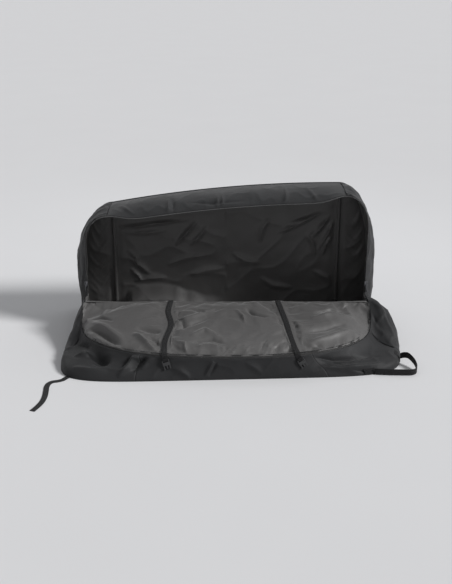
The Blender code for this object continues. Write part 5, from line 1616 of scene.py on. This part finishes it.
def bellows_top(side):
    x = side * (ZIP_HALF + SHELL + BELLOWS_GAP)
    points = [Vector((x, y, FOLD_HEIGHT - LAYER_GAP)) for y in (ZIP_Y, (ZIP_Y + FOLD_Y) / 2, FOLD_Y)]
    points += [hem_point(on_side(side, BELLOWS_START * i / 4)) for i in range(1, 5)]
    return smooth_route(points, BELLOWS_POINTS)


def bellows_foot(side):
    points = [Vector((side * BASE_HALF + x, y, 0.0)) for x, y in (RIGHT_FOOT if side > 0 else LEFT_FOOT)]
    points.append(floor_point(on_side(side, BELLOWS_START)))
    return [place + UP * BELLOWS_LIFT for place in smooth_route(points, BELLOWS_POINTS)]


def bellows_surface(side):
    tops = bellows_top(side)
    feet = bellows_foot(side)
    swells = RIGHT_SWELL if side > 0 else LEFT_SWELL
    last = skirt_curve(on_side(side, BELLOWS_START))

    def point(u, v):
        top = sampled(tops, u)
        foot = sampled(feet, u)
        swell = math.sin(math.pi * u) ** SWELL_POWER if 0 < u < 1 else 0.0
        inner = []
        for share, (outward, upward), end in ((1 / 3, swells[0], last[2]), (2 / 3, swells[1], last[1])):
            place = top.lerp(foot, share) + Vector((side * outward, 0.0, upward)) * swell
            inner.append(place.lerp(end, u ** 3))
        return bezier((top, inner[0], inner[1], foot), v)
    return point


def bellows_underside(side):
    """Cloth turned in under the bellows, from their foot to the lid panel's end."""
    feet = bellows_foot(side)
    lid_end = 0.0 if side > 0 else 1.0

    def point(u, v):
        foot = sampled(feet, u)
        inner = lid_panel_point(lid_end, u) + X_AXIS * (side * (UNDER_GAP - UNDER_TUCK * (1 - u)))
        inner.z = max(inner.z, foot.z)
        return foot.lerp(inner, UNDER_MARGIN + (1 - 2 * UNDER_MARGIN) * v)
    return point


def bend_with_lid(piece):
    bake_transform(piece)


class BAG_OT_bellows(bpy.types.Operator):
    """Makes the cloth that spreads at both ends when the lid folds down"""

    bl_idname = "bag.bellows"
    bl_label = "End bellows"

    def execute(self, context):
        for prefix, side in SIDES:
            outside = Vector((side, *BELLOWS_OUT))
            bend_with_lid(cloth(f"{prefix}_bellows_cloth", bellows_surface(side), OUTER, outside, None,
                                f"{prefix}_bellows", bellows_relief))
            bend_with_lid(cloth(f"{prefix}_bellows_underside", bellows_underside(side),
                                (0.0, SHELL / 2, "outer_cloth"), UP, None))
        point = bellows_surface(1.0)
        knots = smooth_route(map(in_metres, BELLOWS_SEAM_LINE), SEAM_POINTS)
        rows = []
        for gap in (-BELLOWS_ROW_GAP, BELLOWS_ROW_GAP):
            shares = [nearest_share(point, knot + Y_AXIS * gap) for knot in knots]
            for i in range(0, len(shares) - ROW_STEPS, ROW_STEPS):
                rows.append(sewn_row(point, bellows_relief, Vector((1.0, *BELLOWS_OUT)), SHELL + STITCH_RISE,
                                     shares[i:i + ROW_STEPS + 1]))
        bend_with_lid(stitches("right_bellows_stitching", None, rows))
        return {"FINISHED"}


# Lid

class BAG_OT_lid(bpy.types.Operator):
    """Makes the lid: outer panel, foam and lining"""

    bl_idname = "bag.lid"
    bl_label = "Lid"

    def execute(self, context):
        cloth("lid_panel_cloth", lid_panel_point, (-SHELL, 0.0, "outer_cloth"), -UP, "lid", "lid_shell",
              lid_shell_relief)
        inner = (FLOOR_STEPS - 2) / FLOOR_STEPS
        rows = (LID_ROWS - 1) / LID_ROWS
        low = SHELL + LAYER_GAP
        pad = cloth("lid_pad", lambda u, v: lid_panel_point(0.5 + (u - 0.5) * inner, v * rows),
                    (low, low + FOAM, "foam"), UP, "lid", "lid_foam")
        cloth("lid_satin", lid_satin_point, (-LINING, 0.0, "lining_cloth"), UP, "lid", "lid_lining",
              lid_lining_relief,
              loose=(LID_TOO_LARGE, LID_WEIGHT, LID_MOVE, None, lambda place: clear_of_straps(place) < 0.5),
              ground=top_of("lid_foam", LINING_OVER_FOAM))
        return {"FINISHED"}


class BAG_OT_lid_gussets(bpy.types.Operator):
    """Makes the front band and both side bands of the lid"""

    bl_idname = "bag.lid_gussets"
    bl_label = "Lid gussets"

    def execute(self, context):
        sides = FLOOR_SIDE_STEPS / FLOOR_STEPS
        for prefix, start, end, outside in (
            ("right", 0.0, sides, Vector((1.0, *LID_OUT))), ("front", sides, 1 - sides, -Y_AXIS),
            ("left", 1 - sides, 1.0, Vector((-1.0, *LID_OUT))),
        ):
            def point(u, v, start=start, end=end):
                return skirt_point(lid_angle(start + (end - start) * u), v)
            cloth(f"lid_{prefix}_band", point, OUTER, outside, "lid", f"lid_{prefix}_gusset", skirt_relief)
            stitches(f"lid_{prefix}_band_stitching", "lid",
                     sewn_rows(point, skirt_relief, outside, BAND_ROWS, ROW_INSET, 1 - ROW_INSET))
        return {"FINISHED"}


# Zip

def zip_line():
    points = []
    for curves, steps in ((curves_right, 90), (curves_top, 160), (curves_left, 90)):
        shares = [i / steps for i in range(steps + 1)]
        for share in shares[::-1] if curves is curves_left else shares:
            share = max(share, ZIP_START_SHARE)
            place = gusset_point(curves, share, 0.0) + curves(share)[2] * (SHELL / 2)
            points.append(place - Y_AXIS * ZIP_SEAM)
    return even_points(points, ZIP_POINTS)


def lid_zip_place(share, inward, rise):
    """A place beside the lid's hem, from the zip's first end to its last."""
    first = ZIP_SKIPPED / LID_STEPS
    u = first + (1 - 2 * first) * share
    edge = lid_lining_point(u, 1.0)
    along = (lid_lining_point(u, 1 - 1 / LID_ROWS) - edge).normalized()
    return edge + along * inward + UP * rise


class BAG_OT_zips(bpy.types.Operator):
    """Makes both halves of the zip: tape and teeth"""

    bl_idname = "bag.zips"
    bl_label = "Zips"

    def execute(self, context):
        places = zip_line()
        teeth = TAPE_WIDTH + LAYER_GAP + COIL_RADIUS
        cloth("tub_zip_webbing", lambda u, v: sampled(places, u) - Y_AXIS * (TAPE_WIDTH * v),
              (-TAPE / 2, TAPE / 2, "zip_tape"), UP, "tub", "tub_zip_tape")
        cord_tube("tub_zip_teeth", [place - Y_AXIS * teeth for place in places], COIL_RADIUS, "zip_coil",
                  "tub_zip_coil")
        rise = 2 * LAYER_GAP
        cloth("lid_zip_webbing", lambda u, v: lid_zip_place(u, TAPE_WIDTH * v, rise), (0.0, TAPE, "zip_tape"), UP,
              "lid", "lid_zip_tape")
        line = [lid_zip_place(i / LID_ZIP_PARTS, teeth, COIL_RADIUS + rise) for i in range(LID_ZIP_PARTS + 1)]
        cord_tube("lid_zip_teeth", line, COIL_RADIUS, "zip_coil", "lid_zip_coil", "lid")
        return {"FINISHED"}


class BAG_OT_sliders(bpy.types.Operator):
    """Makes the zip sliders and their pull tabs"""

    bl_idname = "bag.sliders"
    bl_label = "Sliders"

    def execute(self, context):
        for prefix, side in SIDES:
            rounded(f"{prefix}_zip_slider", f"{prefix}_slider", SLIDER_ROUNDING, "zip_metal", f"{prefix}_slider")
            rounded(f"{prefix}_zip_pull", f"{prefix}_pull_tab", SMALL_ROUNDING, "zip_metal", f"{prefix}_pull_tab")
        return {"FINISHED"}


# Rods

def heights(node):
    return (corner[2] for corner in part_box(node))


def sleeve_point(x, low, high):
    """Cloth round a rod: a bulge in the middle and a flat seam at both sides."""
    back = BACK_Y - LAYER_GAP
    y = back - ROD_BACK_SPACE - ROD_RADIUS
    bulge = ROD_RADIUS + SLEEVE_ROOM

    def point(u, v):
        z = low + (high - low) * v
        at = (u - 0.5) * 2
        if abs(at) > SLEEVE_ROUND:
            share = (abs(at) - SLEEVE_ROUND) / (1 - SLEEVE_ROUND)
            reach = bulge + (SLEEVE_WIDTH / 2 - bulge) * share
            return Vector((x + math.copysign(reach, at), back - SLEEVE_SEAM - SLEEVE_SEAM_RISE * (1 - share) ** 3, z))
        turn = at / SLEEVE_ROUND * SLEEVE_TURN
        swell = bulge * (1.0 + SLEEVE_SWELL * noise.noise(Vector((x * 9, u * 3, z * 22))))
        return Vector((x + math.sin(turn) * swell, min(y - math.cos(turn) * swell, back - SLEEVE_SEAM), z))
    return point


class BAG_OT_rods(bpy.types.Operator):
    """Makes both upright rods with their end caps and cloth sleeves"""

    bl_idname = "bag.rods"
    bl_label = "Rods"

    def execute(self, context):
        for prefix, side in SIDES:
            x = side * ROD_X
            low, high = heights(f"{prefix}_rod")
            bm = bmesh.new()
            bmesh.ops.create_cone(
                bm, cap_ends=True, segments=40, radius1=ROD_RADIUS, radius2=ROD_RADIUS, depth=high - low
            )
            ends = [edge for edge in bm.edges if abs(edge.verts[0].co.z - edge.verts[1].co.z) < SAME_HEIGHT]
            round_edges(bm, ends, ROD_ROUNDING)
            y = BACK_Y - LAYER_GAP - ROD_BACK_SPACE - ROD_RADIUS
            bmesh.ops.translate(bm, verts=bm.verts, vec=(x, y, (low + high) / 2))
            add_piece(f"{prefix}_rod_tube", bm, "rod_aluminium", "tub", f"{prefix}_rod")
            for end in ("foot", "top"):
                rounded(f"{prefix}_rod_{end}_plug", f"{prefix}_rod_{end}_cap", SMALL_ROUNDING, "rubber", "tub",
                        CAP_EDGE_ANGLE)
            point = sleeve_point(x, *heights(f"{prefix}_rod_sleeve"))
            cloth(f"{prefix}_sleeve_cloth", point, (-LINING, 0.0, "lining_cloth"), -Y_AXIS, "tub",
                  f"{prefix}_rod_sleeve")
            stitches(f"{prefix}_sleeve_stitching", "tub", [
                ([point(edge, i / 8) - Y_AXIS * STITCH_RISE for i in range(9)], -Y_AXIS) for edge in SLEEVE_ROWS
            ])
        return {"FINISHED"}


# Straps

def halved(low, high, count, goes_up):
    """The middle that is left after halving a range this many times."""
    for _ in range(count):
        middle = (low + high) / 2
        if goes_up(middle):
            low = middle
        else:
            high = middle
    return middle


def hem_at(x):
    return hem_point(halved(0.0, 180.0, 40, lambda angle: hem_point(angle).x > x))


def lining_height(x, y):
    def across(u):
        return lid_lining_point(u, halved(0.0, 1.2, 24, lambda v: lid_lining_point(u, v).y > y))
    return across(halved(0.0, 1.0, 30, lambda u: across(u).x > x)).z


def strap_route(route, count):
    """The tie strap's run over the lid, with a hump where it crosses the zip tape."""
    reach = FOLD_Y - LID_SLACK - STRAP_END_SPACE - hem_at(route[-1][1]).y
    scale = reach / route[-1][0]
    points = []
    for place in smooth_route([(share * scale, x, 0.0) for share, x in route], count):
        y = FOLD_Y - LID_SLACK - place.x - SEAM_GAP * (1 - place.x / reach)
        hump = STRAP_HUMP * math.exp(-(((reach - place.x - TAPE_WIDTH) / STRAP_HUMP_REACH) ** 2))
        points.append(Vector((place.y, y, lining_height(place.y, y) + STRAP_SURFACE_GAP + WEBBING / 2 + hump)))
    return points


def patch(name, x, y, node):
    """A sewn square of webbing on the tub's floor, with a box of stitches and a cross."""
    middle = Vector((x, y, FLOOR_TOP + LAYER_GAP + PATCH / 2))
    bm = bmesh.new()
    bmesh.ops.create_cube(bm, size=1.0)
    bmesh.ops.scale(bm, vec=(PATCH_SIDE, PATCH_SIDE, PATCH), verts=bm.verts)
    round_edges(bm, bm.edges, PATCH * PATCH_EDGE_SHARE)
    bm.loops.layers.uv.new("UVMap")
    lay_out(bm, [vert.co.xy for vert in bm.verts])
    bmesh.ops.translate(bm, verts=bm.verts, vec=middle)
    add_piece(name, bm, "webbing", "tub", node)
    reach = PATCH_SIDE / 2 - PATCH_ROW_INSET
    rise = UP * (PATCH / 2 + STITCH_RISE)
    corners = [middle + Vector((a * reach, b * reach, 0.0)) + rise for a, b in ((-1, -1), (1, -1), (1, 1), (-1, 1))]
    ends = ((0, 1), (1, 2), (2, 3), (3, 0), (0, 2), (1, 3))
    stitches(name + "_stitching", "tub", [((corners[a], corners[b]), UP) for a, b in ends])


def loop_round(bar, face, ahead, loop):
    """Half a turn of webbing round a buckle's bar, from behind it to its front."""
    turns = [math.pi * i / LOOP_PARTS for i in range(LOOP_PARTS + 1)]
    points = [bar - face * (loop * math.cos(turn)) + ahead * (loop * math.sin(turn)) for turn in turns]
    return points + [bar + face * loop - ahead * TAIL_RETURN]


class BAG_OT_tie_straps(bpy.types.Operator):
    """Makes both tie straps with their patches and hanging ends"""

    bl_idname = "bag.tie_straps"
    bl_label = "Tie straps"

    def execute(self, context):
        for prefix, route, lean in (
            ("left", LEFT_STRAP_ROUTE, LEFT_TAIL_LEAN), ("right", RIGHT_STRAP_ROUTE, RIGHT_TAIL_LEAN)
        ):
            points = strap_route(route, STRAP_POINTS)
            strap(f"{prefix}_tie_strap_webbing", points, X_AXIS, STRAP_WIDTH, WEBBING, "lid",
                  f"{prefix}_tie_strap_free_end")
            self.anchored(prefix, route[0][1])
            self.hanging(prefix, points[-1], lean)
        return {"FINISHED"}

    def anchored(self, prefix, x):
        """From the tub's floor up the front wall to the fold."""
        low = FLOOR_STRAP_Z
        high = FOLD_HEIGHT + LAYER_GAP + WEBBING / 2
        y = FOLD_Y + WALL_STACK + LAYER_GAP + WEBBING / 2
        line = [(y + STRAP_ANCHOR_REACH, low), (y + STRAP_BEND, low)]
        for turn in (math.pi / 2 * i / BEND_PARTS for i in range(1, BEND_PARTS + 1)):
            line.append((y + STRAP_BEND * (1 - math.sin(turn)), low + STRAP_BEND * (1 - math.cos(turn))))
        line.append((y, high - FOLD_BEND))
        for turn in (math.pi / 2 * i / FOLD_PARTS for i in range(1, FOLD_PARTS + 1)):
            line.append((y - FOLD_BEND * (1 - math.cos(turn)), high - FOLD_BEND * (1 - math.sin(turn))))
        line.append((FOLD_Y + LAYER_GAP, high))
        strap(f"{prefix}_tie_strap_root", [Vector((x, *place)) for place in line], X_AXIS, STRAP_WIDTH, WEBBING,
              "tub", f"{prefix}_tie_strap_anchored_end")
        patch(f"{prefix}_tie_strap_square", x, y + STRAP_ANCHOR_REACH - PATCH_SIDE / 2, f"{prefix}_tie_strap_patch")

    def hanging(self, prefix, start, lean):
        """From the lid's hem down its front, round the buckle's bar."""
        edge = hem_at(start.x)
        edge = Vector((start.x, edge.y, edge.z))
        foot = floor_point(90)
        foot.y += FLOOR_SKEW * (start.x - FLOOR_SHIFT) / FLOOR_HALF
        down = Vector((0.0, foot.y - edge.y, -edge.z)).normalized()
        face = Vector((0.0, down.z, -down.y))
        turn = math.radians(lean)
        slant = down * math.cos(turn) + X_AXIS * math.sin(turn)
        side = X_AXIS * math.cos(turn) - down * math.sin(turn)
        bar = edge + face * TAIL_OFFSET + slant * TAIL_LENGTH
        near = TAIL_OFFSET - BAR_LOOP
        points = [start - Y_AXIS * SEAM_GAP, edge + face * near * TAIL_OUT + UP * (near * TAIL_UP)]
        points += [bar - slant * (TAIL_LENGTH * share) - face * BAR_LOOP for share in TAIL_SHARES]
        points += loop_round(bar, face, slant, BAR_LOOP)
        sides = [X_AXIS, X_AXIS.lerp(side, 0.5).normalized()] + [side] * (len(points) - 2)
        strap(f"{prefix}_tie_strap_loop", points, sides, STRAP_WIDTH, WEBBING, f"{prefix}_strap_tail",
              f"{prefix}_tie_strap_tail")


class BAG_OT_buckles(bpy.types.Operator):
    """Makes the side release buckles and the short mating straps"""

    bl_idname = "bag.buckles"
    bl_label = "Buckles"

    def execute(self, context):
        for prefix, route in (("left", LEFT_STRAP_ROUTE), ("right", RIGHT_STRAP_ROUTE)):
            for name, node, reach in (("prongs", "male", PRONG_ROUNDING), ("socket", "female", SOCKET_ROUNDING)):
                node = f"{prefix}_{node}_buckle"
                rounded(f"{prefix}_buckle_{name}", node, reach, "buckle_plastic", node)
            self.mate(prefix, route[0][1])
        return {"FINISHED"}

    def mate(self, prefix, x):
        """The short strap on the tub's floor that holds the other half."""
        back = BACK_Y - MATE_SETBACK
        lowest = FLOOR_TOP + 2 * LAYER_GAP + BUCKLE_THICKNESS * SOCKET_SHARE / 2
        bar = Vector((x, back - MATE_LENGTH, max(lowest, FLOOR_STRAP_Z + BAR_LOOP)))
        points = [Vector((x, back, FLOOR_STRAP_Z)), Vector((x, back - MATE_LENGTH * MATE_FLAT, FLOOR_STRAP_Z))]
        points.append(Vector((x, back - MATE_LENGTH * MATE_RISE, bar.z - BAR_LOOP)))
        points += loop_round(bar, UP, -Y_AXIS, BAR_LOOP)
        strap(f"{prefix}_mate_webbing", points, X_AXIS, STRAP_WIDTH, WEBBING, "tub", f"{prefix}_mate_strap")
        patch(f"{prefix}_mate_square", x, back - PATCH_SIDE * MATE_PATCH_SHARE, f"{prefix}_mate_patch")


class BAG_OT_handle(bpy.types.Operator):
    """Makes the webbing grab handle and its sewn patches"""

    bl_idname = "bag.handle"
    bl_label = "Grab handle"

    def execute(self, context):
        route = smooth_route([(ZIP_HALF + x, y, z) for x, y, z in HANDLE_ROUTE], HANDLE_POINTS)
        strap("grab_handle_webbing", route, UP, HANDLE_WIDTH, HANDLE_THICKNESS, "grab_handle", "right_grab_handle")
        low = SHELL + PATCH_GAP
        for name, (first, last) in (("upper", TOP_PATCH_ANGLES), ("lower", FOOT_PATCH_ANGLES)):
            def point(u, v, first=first, last=last):
                share = PATCH_START + (1 - PATCH_START) * v
                return skirt_point(first + (last - first) * u, HANDLE_PATCH_SHARE * share)
            cloth(f"grab_handle_{name}_square", point, (low, low + PATCH, "webbing"), Vector((1.0, *LID_OUT)),
                  "lid", f"grab_handle_{name}_patch")
        return {"FINISHED"}


class BAG_PT_panel(bpy.types.Panel):
    """Lists the bag's pieces"""

    bl_idname = "BAG_PT_panel"
    bl_label = "Travel bag"
    bl_space_type = "VIEW_3D"
    bl_region_type = "UI"
    bl_category = "Travel bag"

    def draw(self, context):
        for operator in OPERATORS:
            self.layout.operator(operator.bl_idname)
        for group in (context.scene.bag_colours, context.scene.bag_sizes, context.scene.bag_stage):
            box = self.layout.box()
            for key in group.__annotations__:
                box.prop(group, key)


OPERATORS = (
    BAG_OT_stage, BAG_OT_haul_strap, BAG_OT_back, BAG_OT_ends_and_top, BAG_OT_base, BAG_OT_front_wall,
    BAG_OT_bellows, BAG_OT_lid, BAG_OT_lid_gussets, BAG_OT_zips, BAG_OT_sliders, BAG_OT_rods, BAG_OT_tie_straps,
    BAG_OT_buckles, BAG_OT_handle,
)
GROUPS = (BagColours, BagSizes, BagStage)


def register():
    for group in GROUPS + OPERATORS + (BAG_PT_panel,):
        bpy.utils.register_class(group)
    bpy.types.Scene.bag_colours = bpy.props.PointerProperty(type=BagColours)
    bpy.types.Scene.bag_sizes = bpy.props.PointerProperty(type=BagSizes)
    bpy.types.Scene.bag_stage = bpy.props.PointerProperty(type=BagStage)


def unregister():
    del bpy.types.Scene.bag_colours, bpy.types.Scene.bag_sizes, bpy.types.Scene.bag_stage
    for group in reversed(GROUPS + OPERATORS + (BAG_PT_panel,)):
        bpy.utils.unregister_class(group)


def main():
    register()
    for operator in OPERATORS:
        group, name = operator.bl_idname.split(".")
        getattr(getattr(bpy.ops, group), name)()


if __name__ == "__main__":
    main()
